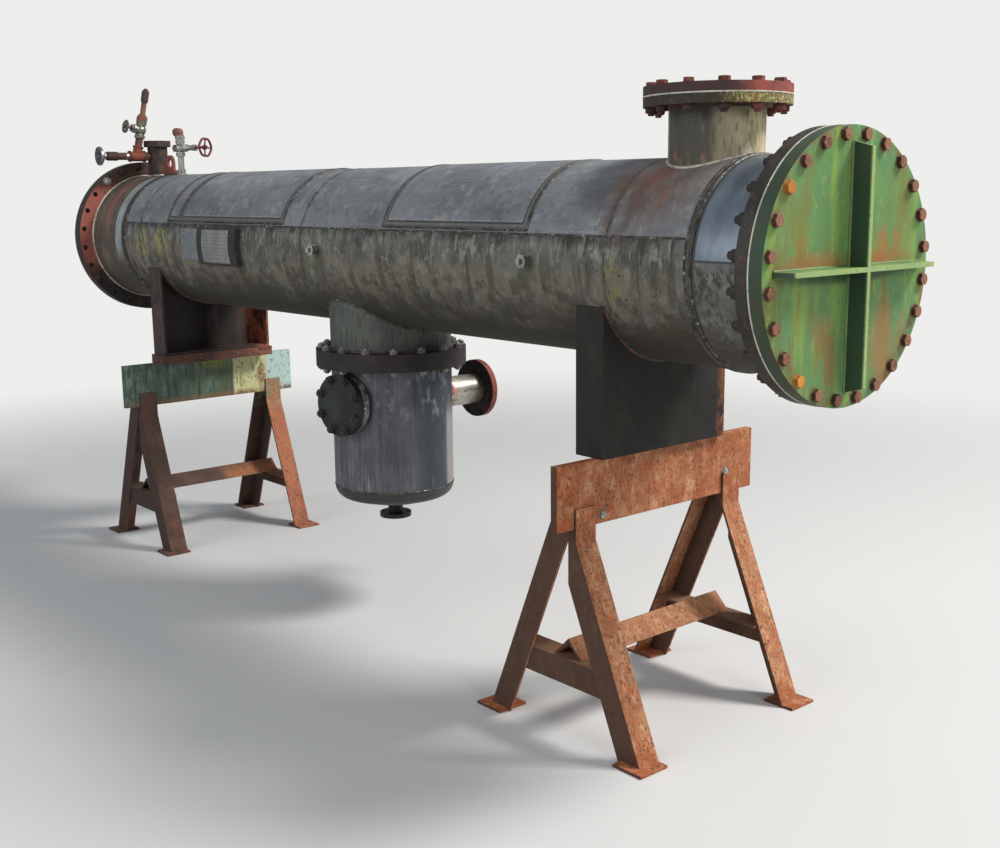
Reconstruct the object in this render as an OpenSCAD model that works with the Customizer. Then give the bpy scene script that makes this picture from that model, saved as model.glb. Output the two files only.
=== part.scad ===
// Shell-and-tube heat exchanger, horizontal, on two welded trestles.
// Origin: on the ground, under the middle of the overall length. +X runs along the
// shell to the ribbed end cover, +Z is up, and -Y is the side with the data plate.

/* [Shell] */
// Outside diameter of the shell and of both channels
shell_d = 559; // [450:1:640]
// Wall of the shell and channels
shell_wall = 8; // [5:0.5:14]
// Length of the shell between its tube sheets
shell_len = 3233; // [3000:1:3800]
// Height of the shell's axis above the ground
axis_h = 1332; // [1250:1:1500]
// Length of the near channel
near_channel_len = 186; // [150:1:320]
// Length of the far channel
far_channel_len = 311; // [280:1:420]
// Thickness of the near tube sheet
near_sheet_t = 20; // [15:1:50]
// Thickness of the far tube sheet
far_sheet_t = 31; // [20:1:60]
// How far the tube sheets stand proud of the shell
sheet_lip = 3; // [1:0.5:10]

/* [End flanges] */
// Outside diameter of the end flanges and covers
flange_d = 686; // [640:1:760]
// Thickness of the body flanges
flange_t = 38; // [25:1:60]
// Bolt circle of the end flanges
flange_pcd = 646; // [610:1:720]
// Number of bolts round each end flange
flange_bolts = 24; // [16:4:32]
// Bolt hole diameter in the end flanges
flange_hole_d = 22; // [16:0.5:28]
// Thickness of the ribbed near cover
near_cover_t = 38; // [25:1:60]
// Thickness of the plain far cover
far_cover_t = 19; // [12:1:50]
// Thickness of the gaskets
gasket_t = 3; // [1.5:0.5:6]
// Gasket width beyond the shell wall
gasket_w = 24; // [10:1:26]
// How far the cover's ribs stand out
rib_out = 55; // [25:1:80]
// Thickness of the cover's ribs
rib_t = 12; // [6:1:20]
// Length of each rib across the cover
rib_len = 610; // [400:1:640]

/* [Doubler plates] */
// Thickness of the curved doubler plates
doubler_t = 3; // [1.5:0.5:8]
// Half angle that the doublers wrap from the top of the shell
doubler_half_angle = 72; // [40:1:85]
// Lengths of the three doublers
doubler_len = [111, 803, 698];
// Places of the doublers' near edges along the shell, from the near tube sheet
doubler_at = [2720, 1913, 595];

/* [Top nozzle] */
// Outside diameter of the top nozzle
top_neck_d = 255; // [200:1:300]
// Wall of the top nozzle
top_neck_wall = 9; // [5:0.5:14]
// Distance of the top nozzle's axis from the near tube sheet
top_nozzle_at = 138; // [90:1:600]
// Height of the top flange's underside above the shell's axis
top_flange_h = 406; // [340:1:560]
// Diameter of the top flange and its blind
top_flange_d = 390; // [350:1:460]
// Thickness of the top flange and its blind
top_flange_t = 25; // [18:1:45]
// Bolt circle of the top flange
top_pcd = 346; // [320:1:420]
// Number of bolts in the top flange
top_bolts = 12; // [8:4:20]
// Bolt hole diameter in the top flange
top_hole_d = 25; // [16:0.5:30]

/* [Hotwell] */
// Outside diameter of the hotwell and its neck
hotwell_d = 437; // [380:1:480]
// Wall of the hotwell
hotwell_wall = 6; // [4:0.5:12]
// Distance of the hotwell's axis from the near tube sheet
hotwell_at = 1637; // [1200:1:2000]
// Height of the flange joint above the ground
hotwell_joint_h = 945; // [920:1:1040]
// Height where the hotwell's bottom head starts
hotwell_bottom_h = 470; // [430:1:560]
// Depth of the bottom head
hotwell_head_depth = 78; // [64:1:110]
// Knuckle radius of the bottom head
hotwell_knuckle_r = 46; // [30:1:56]
// Diameter of the hotwell's flanges
hotwell_flange_d = 544; // [500:1:620]
// Thickness of each hotwell flange
hotwell_flange_t = 31; // [15:1:45]
// Bolt circle of the hotwell's flanges
hotwell_pcd = 504; // [480:1:580]
// Number of bolts in the hotwell's flanges
hotwell_bolts = 16; // [12:4:24]
// Bolt hole diameter in the hotwell's flanges
hotwell_hole_d = 20; // [14:0.5:26]

/* [Side nozzles] */
// Height of the open rear nozzle's axis
rear_nozzle_h = 777; // [700:1:800]
// Height of the blanked front nozzle's axis
front_nozzle_h = 790; // [700:1:800]
// Outside diameter of the side nozzles' pipe
side_pipe_d = 114; // [90:1:140]
// Wall of the side nozzles' pipe
side_pipe_wall = 6; // [3:0.5:10]
// Diameter of the side nozzles' flanges
side_flange_d = 220; // [190:1:250]
// Thickness of the side nozzles' flanges
side_flange_t = 23; // [14:1:32]
// Bolt circle of the side nozzles
side_pcd = 190.5; // [170:0.5:215]
// Number of bolts in each side nozzle
side_bolts = 8; // [4:4:12]
// Bolt hole diameter in the side nozzles
side_hole_d = 19; // [12:0.5:22]
// Distance from the hotwell's axis to the open rear flange's face
rear_face_at = 412; // [340:1:480]
// Distance from the hotwell's axis to the front flange's face
front_face_at = 240; // [240:1:300]
// Angle of the front nozzle from -Y towards +X
front_turn = 8; // [0:1:30]

/* [Drain] */
// Outside diameter of the drain pipe
drain_d = 54; // [40:1:60]
// Bore of the drain
drain_bore_d = 46; // [25:0.5:50]
// Diameter of the drain flange
drain_flange_d = 116; // [100:1:140]
// Thickness of the drain flange
drain_flange_t = 16; // [10:1:25]
// Height of the drain flange's face above the ground
drain_face_h = 340; // [200:1:365]
// Bolt circle of the drain flange
drain_pcd = 88; // [75:1:110]
// Bolt hole diameter in the drain flange
drain_hole_d = 15; // [8:0.5:18]

/* [Saddles] */
// Half width of the saddles across the shell
saddle_half_w = 256; // [220:1:275]
// Width of the saddles along the shell
saddle_w = 106; // [80:1:160]
// Thickness of the saddle plates
saddle_t = 10; // [6:1:20]
// Thickness of the saddle base plates
saddle_base_t = 10; // [6:1:20]
// Distance of the near saddle's middle from the near tube sheet
near_saddle_at = 354; // [310:1:900]
// Distance of the far saddle's middle from the near tube sheet
far_saddle_at = 3007; // [2500:1:3100]
// Thickness of the packing block under the far saddle
packing_t = 38; // [20:1:80]

/* [Trestles] */
// Height of the trestle beams' top edge
beam_top_h = 800; // [700:1:840]
// Depth of the beams
beam_depth = 183; // [120:1:220]
// Thickness of the beams
beam_t = 24; // [12:1:40]
// Length of the beams across the shell
beam_len = 824; // [740:1:1000]
// Distance of the near trestle's middle from the near tube sheet
near_trestle_at = 331; // [310:1:900]
// Distance of the far trestle's middle from the near tube sheet
far_trestle_at = 3049; // [2500:1:3150]
// Half spread of the near trestle's feet along the shell
near_foot_spread = 306; // [240:1:360]
// Half spread of the far trestle's feet along the shell
far_foot_spread = 274; // [240:1:360]
// Half spread of the legs' outer edges under the beam
apex_half = 44; // [42:1:70]
// How far the legs' apex stands behind the beam's middle
apex_behind = 40; // [20:1:40]
// Half distance between the outer faces of the leg frames
frame_half = 348; // [330:1:380]
// Leg width of the angle iron
angle_w = 76; // [50:1:90]
// Thickness of the angle iron
angle_t = 8; // [5:0.5:12]
// How far the front legs' straps lap up the beam
leg_lap = 57; // [30:1:110]
// Width of the square foot plates
foot_w = 104; // [90:1:150]
// Thickness of the foot plates
foot_t = 8; // [5:1:15]
// Height of the braces' top face
brace_h = 231; // [150:1:320]

/* [Vent piping] */
// Diameter of the vent neck
vent_neck_d = 89; // [60:1:100]
// Distance of the vent neck's axis from the far tube sheet
vent_at = 181; // [120:1:200]
// Height of the vent neck's blind above the shell's axis
vent_neck_h = 408; // [370:1:480]
// Diameter of the vent neck's cap
vent_cap_d = 120; // [100:1:150]
// Thickness of the vent neck's cap
vent_cap_t = 27; // [12:1:40]
// Outside diameter of the small pipework
pipe_d = 33; // [26:0.5:36]
// How far the gauge branch's axis lies below the vent neck's top
branch_drop = 43; // [30:1:60]
// Distance of the tee from the vent neck's axis
tee_at = 102; // [95:1:150]
// Distance of the dial's face from the vent neck's axis
dial_at = 284; // [240:1:320]
// Diameter of the dial
dial_d = 83; // [60:1:110]
// Height of the riser's tip above the branch
riser_h = 308; // [280:1:340]
// Distance of the vent riser from the near tube sheet
riser_at = 3214; // [3000:1:3215]
// Height of the vent valve above the shell's axis
vent_valve_h = 396; // [370:1:440]
// Distance of the vent handwheel from its valve
wheel_out = 147; // [120:1:180]
// Diameter of the vent handwheel
wheel_d = 86; // [50:1:100]
// Diameter of the gauge handwheel
small_wheel_d = 60; // [40:1:80]

/* [Fittings] */
// Thickness of the lifting lug
lug_t = 12; // [8:1:25]
// Width of the lifting lug
lug_w = 100; // [70:1:130]
// Height of the lug's eye above the shell
lug_h = 52; // [35:1:80]
// Diameter of the lug's eye
lug_eye_d = 40; // [20:0.5:45]
// Distance of the lug from the far tube sheet
lug_at = 55; // [52:1:80]
// Outside diameter of the side couplings
coupling_d = 38; // [30:1:60]
// How far the side couplings stand out
coupling_out = 26; // [15:1:50]
// Places of the side couplings from the near tube sheet
coupling_at = [580, 1678];
// Width of the data plate
plate_w = 213; // [120:1:260]
// Height of the data plate
plate_h = 117; // [70:1:160]
// Distance of the data plate's near edge from the near tube sheet
plate_at = 2256; // [1800:1:2400]
// Width of the bare plate on the shell
blank_w = 165; // [100:1:200]
// Height of the bare plate
blank_h = 127; // [80:1:160]
// Gap between the data plate's bracket and the bare plate
blank_gap = 17; // [5:1:60]
// How far the data plate's bracket stands off the shell
plate_off = 22; // [12:1:50]
// Width of the bracket's margins beside the data plate
plate_lip = 44; // [20:1:60]
// Thickness of the bracket
bracket_t = 4; // [2:0.5:8]
// How far the plates' middle lies below the shell's axis
plate_drop = 6; // [0:1:30]

/* [Hidden] */
$fn = 96;
shell_r = shell_d / 2;
// Running gap between curved faces that seat on each other
seat = 0.3;
eps = 0.01;
overall = rib_out + near_cover_t + gasket_t + flange_t + near_channel_len + near_sheet_t
    + shell_len + far_sheet_t + far_channel_len + flange_t + far_cover_t;
// Stations along X, from the ribs' front to the back of the far cover
cover_x = overall / 2 - rib_out;
gasket_x = cover_x - near_cover_t;
near_flange_x = gasket_x - gasket_t;
near_channel_x = near_flange_x - flange_t;
near_sheet_x = near_channel_x - near_channel_len;
shell_x = near_sheet_x - near_sheet_t;
far_sheet_x = shell_x - shell_len;
far_channel_x = far_sheet_x - far_sheet_t;
far_flange_x = far_channel_x - far_channel_len;
far_cover_x = far_flange_x - flange_t;
bore_r = shell_r - shell_wall;
top_x = shell_x - top_nozzle_at;
top_flange_z = axis_h + top_flange_h;
hotwell_x = shell_x - hotwell_at;
hotwell_r = hotwell_d / 2;
hotwell_bore_r = hotwell_r - hotwell_wall;
side_bore_r = side_pipe_d / 2 - side_pipe_wall;
hotwell_bottom_z = hotwell_bottom_h - hotwell_head_depth;
vent_x = far_channel_x - vent_at;
branch_z = axis_h + vent_neck_h - branch_drop;
riser_x = shell_x - riser_at;
vent_valve_z = axis_h + vent_valve_h;
// Along the leaning riser from the tee to its valve
gauge_valve_up = 0.39 * riser_h;
// Lean of the gauge riser towards +Y
riser_lean = 12;
// Turn of the vent handwheel's stem from +X towards +Y
vent_wheel_turn = 20;
outlet_bore_d = 21;
// Length of the straps' tails down the front legs
strap_tail = 46;
// Where the data plate's bracket and the bare plate start, from the near tube sheet
bracket_at = plate_at - plate_lip;
blank_at = plate_at + plate_w + plate_lip + blank_gap;
vent_pipe_d = 27;
stem_r = 5;
gauge_stem_seat = 46;
gauge_valve_half = 38;
// Depth of the dial's case and length of its hexagon stem
dial_case = 15;
dial_stem = 19;
vent_stem_seat = 92;
beam_foot_z = beam_top_h - beam_depth;
near_beam_x = shell_x - near_trestle_at;
far_beam_x = shell_x - far_trestle_at;
steel_dark = "#4a3a34";
stainless = "#8b8a86";
green = "#6f9a4c";
rust = "#a5593a";

// A disc or tube with its axis along X, from x towards -X
module along_x(x, len, r, bore = 0) {
    translate([x - len, 0, axis_h]) rotate([0, 90, 0]) difference() {
        cylinder(h = len, r = r);
        if (bore > 0) translate([0, 0, -1]) cylinder(h = len + 2, r = bore);
    }
}

// A ring of holes with its axis along Z, straddling the centre lines
module hole_ring(count, pcd, d, depth) {
    for (i = [0 : count - 1])
        rotate([0, 0, (i + 0.5) * 360 / count])
            translate([pcd / 2, 0, -1]) cylinder(h = depth + 2, d = d, $fn = 24);
}

// An upright flange, its underside at the origin
module flange(d, t, bore_d, count, pcd, hole_d) {
    difference() {
        cylinder(h = t, d = d);
        if (bore_d > 0) translate([0, 0, -1]) cylinder(h = t + 2, d = bore_d);
        hole_ring(count, pcd, hole_d, t);
    }
}

// An end flange or cover, from x towards -X
module end_flange(x, t, bore_d) {
    translate([x - t, 0, axis_h]) rotate([0, 90, 0])
        flange(flange_d, t, bore_d, flange_bolts, flange_pcd, flange_hole_d);
}

// The shell's outside with its seating gap, for cutting what stands on it
module shell_envelope() {
    along_x(overall, 2 * overall, shell_r + seat);
}

module shell() color(stainless) along_x(shell_x, shell_len, shell_r, bore_r);

module near_tube_sheet()
    color(stainless) along_x(near_sheet_x, near_sheet_t, shell_r + sheet_lip);

module far_tube_sheet()
    color(steel_dark) along_x(far_sheet_x, far_sheet_t, shell_r + sheet_lip);

module near_channel()
    color(stainless) along_x(near_channel_x, near_channel_len, shell_r, bore_r);

module far_channel()
    color("#6d655d") along_x(far_channel_x, far_channel_len, shell_r, bore_r);

module near_body_flange() color(steel_dark) end_flange(near_flange_x, flange_t, 2 * bore_r);

module near_gasket()
    color("#c9c7bb") along_x(gasket_x, gasket_t, shell_r + gasket_w, bore_r);

module near_cover() color(green) end_flange(cover_x, near_cover_t, 0);

// Two flat bars welded on edge in a cross, their ends cut back towards the front
module cover_ribs() {
    root = rib_len / 2;
    front = root - 0.27 * rib_out;
    color(green) translate([cover_x, 0, axis_h]) for (turn = [0, 90])
        rotate([turn, 0, 0]) translate([0, rib_t / 2, 0]) rotate([90, 0, 0])
            linear_extrude(rib_t)
                polygon([[0, -root], [rib_out, -front], [rib_out, front], [0, root]]);
}

module far_body_flange() color("#8d5a50") end_flange(far_flange_x, flange_t, 2 * bore_r);

module far_cover() color(steel_dark) end_flange(far_cover_x, far_cover_t, 0);

// Curved plates lapped over the top of the shell
module doubler_plates() {
    color(stainless) for (i = [0 : len(doubler_at) - 1])
        translate([shell_x - doubler_at[i] - doubler_len[i], 0, axis_h])
            rotate([0, 90, 0]) rotate([0, 0, 180 - doubler_half_angle])
                rotate_extrude(angle = 2 * doubler_half_angle)
                    translate([shell_r + seat, 0]) square([doubler_t, doubler_len[i]]);
}

module top_nozzle_neck() {
    color("#a39c8a") difference() {
        translate([top_x, 0, axis_h]) difference() {
            cylinder(h = top_flange_h, d = top_neck_d);
            translate([0, 0, -1])
                cylinder(h = top_flange_h + 2, d = top_neck_d - 2 * top_neck_wall);
        }
        shell_envelope();
    }
}

module top_nozzle_flange()
    color("#8f8a4e") translate([top_x, 0, top_flange_z])
        flange(top_flange_d, top_flange_t, top_neck_d - 2 * top_neck_wall,
            top_bolts, top_pcd, top_hole_d);

module top_nozzle_gasket() {
    face_d = top_pcd - top_hole_d - 2 * gasket_t;
    color("#c9c7bb") translate([top_x, 0, top_flange_z + top_flange_t]) difference() {
        cylinder(h = gasket_t, d = face_d);
        translate([0, 0, -1]) cylinder(h = gasket_t + 2, d = top_neck_d - 2 * top_neck_wall);
    }
}

module top_nozzle_blind()
    color("#7d3f36") translate([top_x, 0, top_flange_z + top_flange_t + gasket_t])
        flange(top_flange_d, top_flange_t, 0, top_bolts, top_pcd, top_hole_d);

module hotwell_neck() {
    base = hotwell_joint_h + hotwell_flange_t;
    color("#8f8b80") difference() {
        translate([hotwell_x, 0, base]) difference() {
            cylinder(h = axis_h - base, r = hotwell_r);
            translate([0, 0, -1]) cylinder(h = axis_h - base + 2, r = hotwell_bore_r);
        }
        shell_envelope();
    }
}

module hotwell_flange_ring(z)
    color(steel_dark) translate([hotwell_x, 0, z])
        flange(hotwell_flange_d, hotwell_flange_t, 2 * hotwell_bore_r,
            hotwell_bolts, hotwell_pcd, hotwell_hole_d);

module hotwell_upper_flange() hotwell_flange_ring(hotwell_joint_h);

module hotwell_lower_flange() hotwell_flange_ring(hotwell_joint_h - hotwell_flange_t);

// Drum with a dished bottom, open at the top, cut for its nozzles
module hotwell_drum() {
    top = hotwell_joint_h - hotwell_flange_t;
    color(stainless) translate([hotwell_x, 0, 0]) difference() {
        rotate_extrude() difference() {
            drum_outline(hotwell_r, top, hotwell_head_depth, hotwell_knuckle_r);
            drum_outline(hotwell_bore_r, top + 1, hotwell_head_depth - hotwell_wall,
                hotwell_knuckle_r - hotwell_wall);
        }
        translate([0, 0, rear_nozzle_h]) rotate([-90, 0, 0])
            cylinder(h = hotwell_d, r = side_bore_r);
        translate([0, 0, hotwell_bottom_z - 1])
            cylinder(h = hotwell_head_depth, d = drain_bore_d);
    }
}

// Half outline of the drum, from its head up to the given height
module drum_outline(r, top, depth, knuckle) {
    flat = r - knuckle;
    crown_drop = depth - knuckle;
    crown_r = (flat * flat + crown_drop * crown_drop) / (2 * crown_drop);
    translate([0, hotwell_bottom_h]) {
        translate([0, -knuckle]) square([flat, top - hotwell_bottom_h + knuckle]);
        translate([flat - 1, 0]) square([knuckle + 1, top - hotwell_bottom_h]);
        intersection() {
            translate([flat, 0]) circle(r = knuckle);
            translate([flat - 1, -knuckle]) square([knuckle + 1, knuckle + 1]);
        }
        intersection() {
            translate([0, crown_r - depth]) circle(r = crown_r, $fn = 192);
            translate([0, -depth - 1]) square([flat, crown_drop + 2]);
        }
    }
}

// A pipe from the drum's side out to a flange, with its axis along +Y
module side_pipe(len) {
    difference() {
        rotate([-90, 0, 0]) difference() {
            cylinder(h = len, d = side_pipe_d);
            translate([0, 0, -1]) cylinder(h = len + 2, r = side_bore_r);
        }
        cylinder(h = 2 * side_pipe_d, r = hotwell_r + seat, center = true);
    }
}

module rear_nozzle_pipe()
    color("#b9b5ab") translate([hotwell_x, 0, rear_nozzle_h])
        side_pipe(rear_face_at - side_flange_t);

module rear_nozzle_flange()
    color("#8a4a35") translate([hotwell_x, rear_face_at, rear_nozzle_h]) rotate([90, 0, 0])
        flange(side_flange_d, side_flange_t, 2 * side_bore_r,
            side_bolts, side_pcd, side_hole_d);

module at_front_nozzle()
    translate([hotwell_x, 0, front_nozzle_h]) rotate([0, 0, 180 + front_turn]) children();

// Short neck and its flange, close against the drum
module front_nozzle_neck() {
    color("#2c2b2a") at_front_nozzle() difference() {
        union() {
            side_pipe(front_face_at - side_flange_t + eps);
            translate([0, front_face_at, 0]) rotate([90, 0, 0])
                flange(side_flange_d, side_flange_t, 2 * side_bore_r,
                    side_bolts, side_pcd, side_hole_d);
        }
        cylinder(h = 2 * side_flange_d, r = hotwell_r + seat, center = true);
    }
}

module front_nozzle_blind()
    color("#2c2b2a") at_front_nozzle() translate([0, front_face_at + side_flange_t, 0])
        rotate([90, 0, 0])
            flange(side_flange_d, side_flange_t, 0, side_bolts, side_pcd, side_hole_d);

// Drain pipe let into the head, with its flange facing down
module drain_nozzle() {
    wall_z = hotwell_bottom_z + hotwell_wall;
    color("#262524") translate([hotwell_x, 0, 0]) difference() {
        union() {
            translate([0, 0, drain_face_h])
                flange(drain_flange_d, drain_flange_t, 0, 4, drain_pcd, drain_hole_d);
            translate([0, 0, drain_face_h])
                cylinder(h = hotwell_bottom_z - drain_face_h - seat, d = drain_d);
        }
        translate([0, 0, drain_face_h - 1]) cylinder(h = wall_z, d = drain_bore_d);
    }
}

// Plate saddle: web on one side, end ribs and a centre rib towards the other
module saddle(x, foot_z, side) {
    top_z = axis_h - sqrt(pow(shell_r, 2) - pow(saddle_half_w, 2));
    web_x = side > 0 ? saddle_w / 2 - saddle_t : -saddle_w / 2;
    difference() {
        translate([x, 0, foot_z]) union() {
            translate([-saddle_w / 2, -saddle_half_w, 0])
                cube([saddle_w, 2 * saddle_half_w, saddle_base_t]);
            translate([web_x, -saddle_half_w, 0])
                cube([saddle_t, 2 * saddle_half_w, top_z - foot_z]);
            for (y = [-saddle_half_w, -saddle_t / 2, saddle_half_w - saddle_t])
                translate([-saddle_w / 2, y, 0])
                    cube([saddle_w, saddle_t, top_z - foot_z]);
        }
        shell_envelope();
    }
}

module near_saddle() color("#39342d") saddle(shell_x - near_saddle_at, beam_top_h, 1);

module far_saddle()
    color("#4c302a") saddle(shell_x - far_saddle_at, beam_top_h + packing_t, -1);

module far_packing()
    color("#5f3a31") translate([shell_x - far_saddle_at - saddle_w / 2 - 6,
        -saddle_half_w - 10, beam_top_h])
        cube([saddle_w + 12, 2 * saddle_half_w + 20, packing_t]);

// Thick plate on edge, its middle at x
module trestle_beam(x)
    translate([x - beam_t / 2, -beam_len / 2, beam_foot_z]) cube([beam_t, beam_len, beam_depth]);

// Section of angle iron with its corner at the origin, its flanges along +x and +y
module angle_section() {
    difference() {
        square(angle_w);
        translate([angle_t, angle_t]) square(angle_w);
    }
}

// Half distance between the legs' outer edges at a height
function leg_half(spread, z) = spread - (spread - apex_half) * z / beam_foot_z;

// Leaning angle iron, corner outwards, for the +X, +Y corner of a trestle whose
// apex is over the origin. It runs from the foot plate up past the beam.
module leaning_leg(spread) {
    lean = atan((spread - apex_half) / beam_foot_z);
    translate([spread, frame_half, 0]) rotate([0, -lean, 0])
        translate([0, 0, -angle_w]) mirror([1, 0, 0]) mirror([0, 1, 0])
            linear_extrude((beam_top_h + angle_w) / cos(lean)) angle_section();
}

module foot_plate(spread)
    translate([spread - 0.7 * foot_w, frame_half - 0.7 * foot_w, 0])
        cube([foot_w, foot_w, foot_t]);

// Leg on the beam's +X side: it ends under the beam, with a strap up the beam's face
module front_leg(spread) {
    back_x = apex_behind - beam_t / 2 + 1;
    face_x = apex_behind + beam_t / 2;
    foot_plate(spread);
    intersection() {
        leaning_leg(spread);
        translate([back_x, 0, 0]) cube([spread, frame_half, beam_foot_z]);
    }
    translate([face_x, frame_half - angle_w, beam_foot_z - strap_tail])
        cube([angle_t, angle_w, leg_lap + strap_tail]);
}

// Leg on the beam's -X side: it runs up against the beam's back
module back_leg(spread) {
    foot_plate(spread);
    intersection() {
        leaning_leg(spread);
        translate([beam_t / 2 - apex_behind, 0, 0])
            cube([spread + apex_behind, frame_half, beam_foot_z + beam_depth * 0.55]);
    }
}

module trestle_legs(x, spread)
    translate([x - apex_behind, 0, 0]) for (side = [0, 1]) mirror([0, side, 0]) {
        front_leg(spread);
        mirror([1, 0, 0]) back_leg(spread);
    }

// Angle braces between the legs of each frame, one flange upright, the other on top
module trestle_braces(x, spread) {
    half = leg_half(spread, brace_h) - angle_t * 1.4;
    for (side = [0, 1]) mirror([0, side, 0])
        translate([x - apex_behind - half, frame_half - angle_t, brace_h])
            rotate([90, 0, 90]) mirror([1, 0]) mirror([0, 1])
                linear_extrude(2 * half) angle_section();
}

// Angle iron laid corner up across both braces, its toes dressed flat
module trestle_stretcher(x) {
    ridge = angle_w * sin(45) - 1;
    len = 2 * (frame_half - angle_t - 20);
    translate([x - apex_behind, len / 2, brace_h]) rotate([90, 0, 0]) linear_extrude(len)
        intersection() {
            translate([0, ridge]) rotate(-135) angle_section();
            translate([-angle_w, 0]) square([2 * angle_w, angle_w]);
        }
}

module near_trestle_beam() color(rust) trestle_beam(near_beam_x);
module near_trestle_legs() color(rust) trestle_legs(near_beam_x, near_foot_spread);
module near_trestle_braces() color(rust) trestle_braces(near_beam_x, near_foot_spread);
module near_trestle_stretcher() color(rust) trestle_stretcher(near_beam_x);
module far_trestle_beam() color("#9db5a0") trestle_beam(far_beam_x);
module far_trestle_legs() color("#74493a") trestle_legs(far_beam_x, far_foot_spread);
module far_trestle_braces() color("#74493a") trestle_braces(far_beam_x, far_foot_spread);
module far_trestle_stretcher() color("#8a5540") trestle_stretcher(far_beam_x);

// Upright neck with a flat cap, drilled for the gauge branch
module vent_neck() {
    color("#332e2d") difference() {
        translate([vent_x, 0, axis_h]) {
            cylinder(h = vent_neck_h, d = vent_neck_d);
            translate([0, 0, vent_neck_h]) cylinder(h = vent_cap_t, d = vent_cap_d);
        }
        shell_envelope();
    }
}

module hex(d, h) cylinder(h = h, d = d, $fn = 6);

module at_gauge_tee() translate([vent_x, -tee_at, branch_z]) rotate([-riser_lean, 0, 0]) children();

// Pipe, union, coupling and tee that carry the dial and the gauge valve
module gauge_branch() {
    tee_r = pipe_d * 0.68;
    tee_half = pipe_d * 1.15;
    rise = pipe_d * 1.38;
    band = 7;
    pipe_end = dial_at - dial_stem - dial_case;
    color("#8c4c3c") difference() {
        union() {
            translate([vent_x, 0, branch_z]) rotate([90, 0, 0]) {
                cylinder(h = pipe_end, d = pipe_d);
                translate([0, 0, tee_at - tee_half]) cylinder(h = 2 * tee_half, r = tee_r);
                for (end = [tee_at - tee_half, tee_at + tee_half - band])
                    translate([0, 0, end]) cylinder(h = band, r = tee_r * 1.12);
                translate([0, 0, vent_neck_d / 2 + 4]) hex(pipe_d * 1.35, 12);
                translate([0, 0, pipe_end - 52]) cylinder(h = 46, d = pipe_d * 1.22);
            }
            at_gauge_tee() {
                cylinder(h = rise, r = tee_r * 0.93);
                translate([0, 0, rise - band]) cylinder(h = band, r = tee_r * 1.08);
                cylinder(h = gauge_valve_up - gauge_valve_half, d = pipe_d);
            }
        }
        translate([vent_x, 0, axis_h]) cylinder(h = 2 * vent_neck_h, d = vent_neck_d + 2 * seat);
    }
}

// Dial with its case, rim, stem and hexagon
module dial_gauge() {
    rim = 4.5;
    color("#3c4043") translate([vent_x, -dial_at, branch_z]) rotate([-90, 0, 0]) {
        rotate_extrude() difference() {
            polygon([[0, 0], [dial_d / 2 - 1, 0], [dial_d / 2, 1], [dial_d / 2, 9],
                [dial_d * 0.4, dial_case], [0, dial_case]]);
            translate([-1, -1]) square([dial_d / 2 - rim + 1, 4]);
        }
        translate([0, 0, dial_case - eps]) hex(30, dial_stem + eps);
    }
}

// Screw-down valve on an upright run: hexagon ends, round body, and along -Y
// a turned bonnet with its nut and the stem's gland nut
module screw_valve(end_half, stem_seat, run_d) {
    body_r = run_d * 0.75;
    neck_r = run_d * 0.38;
    end_hex = 15;
    gland = 14;
    nut_at = body_r + 3;
    difference() {
        union() {
            translate([0, 0, -end_half]) cylinder(h = 2 * end_half, d = run_d);
            for (end = [-end_half, end_half - end_hex]) translate([0, 0, end])
                hex(run_d * 1.4, end_hex);
            for (end = [-end_half + end_hex, end_half - end_hex - 4]) translate([0, 0, end])
                cylinder(h = 4, d = run_d * 1.2);
            sphere(r = body_r);
            rotate([90, 0, 0]) rotate_extrude()
                polygon([[0, 0], [run_d * 0.58, 0], [run_d * 0.58, nut_at + 8],
                    [run_d * 0.46, nut_at + 11], [neck_r, nut_at + (stem_seat - nut_at) * 0.5],
                    [neck_r, stem_seat], [0, stem_seat]]);
            translate([0, -nut_at, 0]) rotate([90, 0, 0]) hex(run_d * 1.3, 8);
            translate([0, gland - stem_seat, 0]) rotate([90, 0, 0]) hex(run_d * 1.05, gland);
        }
        translate([0, -stem_seat - 1, 0]) rotate([-90, 0, 0])
            cylinder(h = gland + 4, r = stem_r + seat);
    }
}

// Handwheel with its stem, axis along -Y, the bonnet's face at the origin
module handwheel(d, out) {
    rim_r = 4.5;
    translate([0, -out, 0]) rotate([90, 0, 0]) rotate_extrude()
        translate([d / 2 - rim_r, 0]) circle(r = rim_r, $fn = 24);
    for (i = [0 : 3]) translate([0, -out, 0]) rotate([0, 45 + 90 * i, 0])
        cylinder(h = d / 2 - rim_r, r = 3, $fn = 16);
    translate([0, -out + 7, 0]) rotate([90, 0, 0]) cylinder(h = 14, r = 10);
    translate([0, 15, 0]) rotate([90, 0, 0]) cylinder(h = out + 15, r = stem_r);
}

module at_gauge_valve() at_gauge_tee() translate([0, 0, gauge_valve_up]) children();

// Valve on the gauge riser, with the union and the capped pipe above it
module gauge_valve() {
    tip = riser_h - gauge_valve_up;
    sleeve = 44;
    nose = 12;
    union_h = 22;
    color("#7a7466") at_gauge_valve() {
        screw_valve(gauge_valve_half, gauge_stem_seat, pipe_d);
        translate([0, 0, gauge_valve_half]) hex(pipe_d * 1.45, union_h);
        translate([0, 0, gauge_valve_half + union_h]) cylinder(h = 8, d = pipe_d * 1.15);
        cylinder(h = tip - nose, d = pipe_d * 0.72);
        translate([0, 0, tip - nose - sleeve - 8])
            cylinder(h = 8 + eps, d1 = pipe_d * 0.72, d2 = pipe_d);
        translate([0, 0, tip - nose - sleeve]) cylinder(h = sleeve, d = pipe_d);
        translate([0, 0, tip - nose - eps])
            cylinder(h = nose + eps, d1 = pipe_d * 0.9, d2 = pipe_d * 0.45);
    }
}

module gauge_handwheel()
    color("#4d4a48") at_gauge_valve() translate([0, -gauge_stem_seat, 0])
        handwheel(small_wheel_d, 26);

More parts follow.
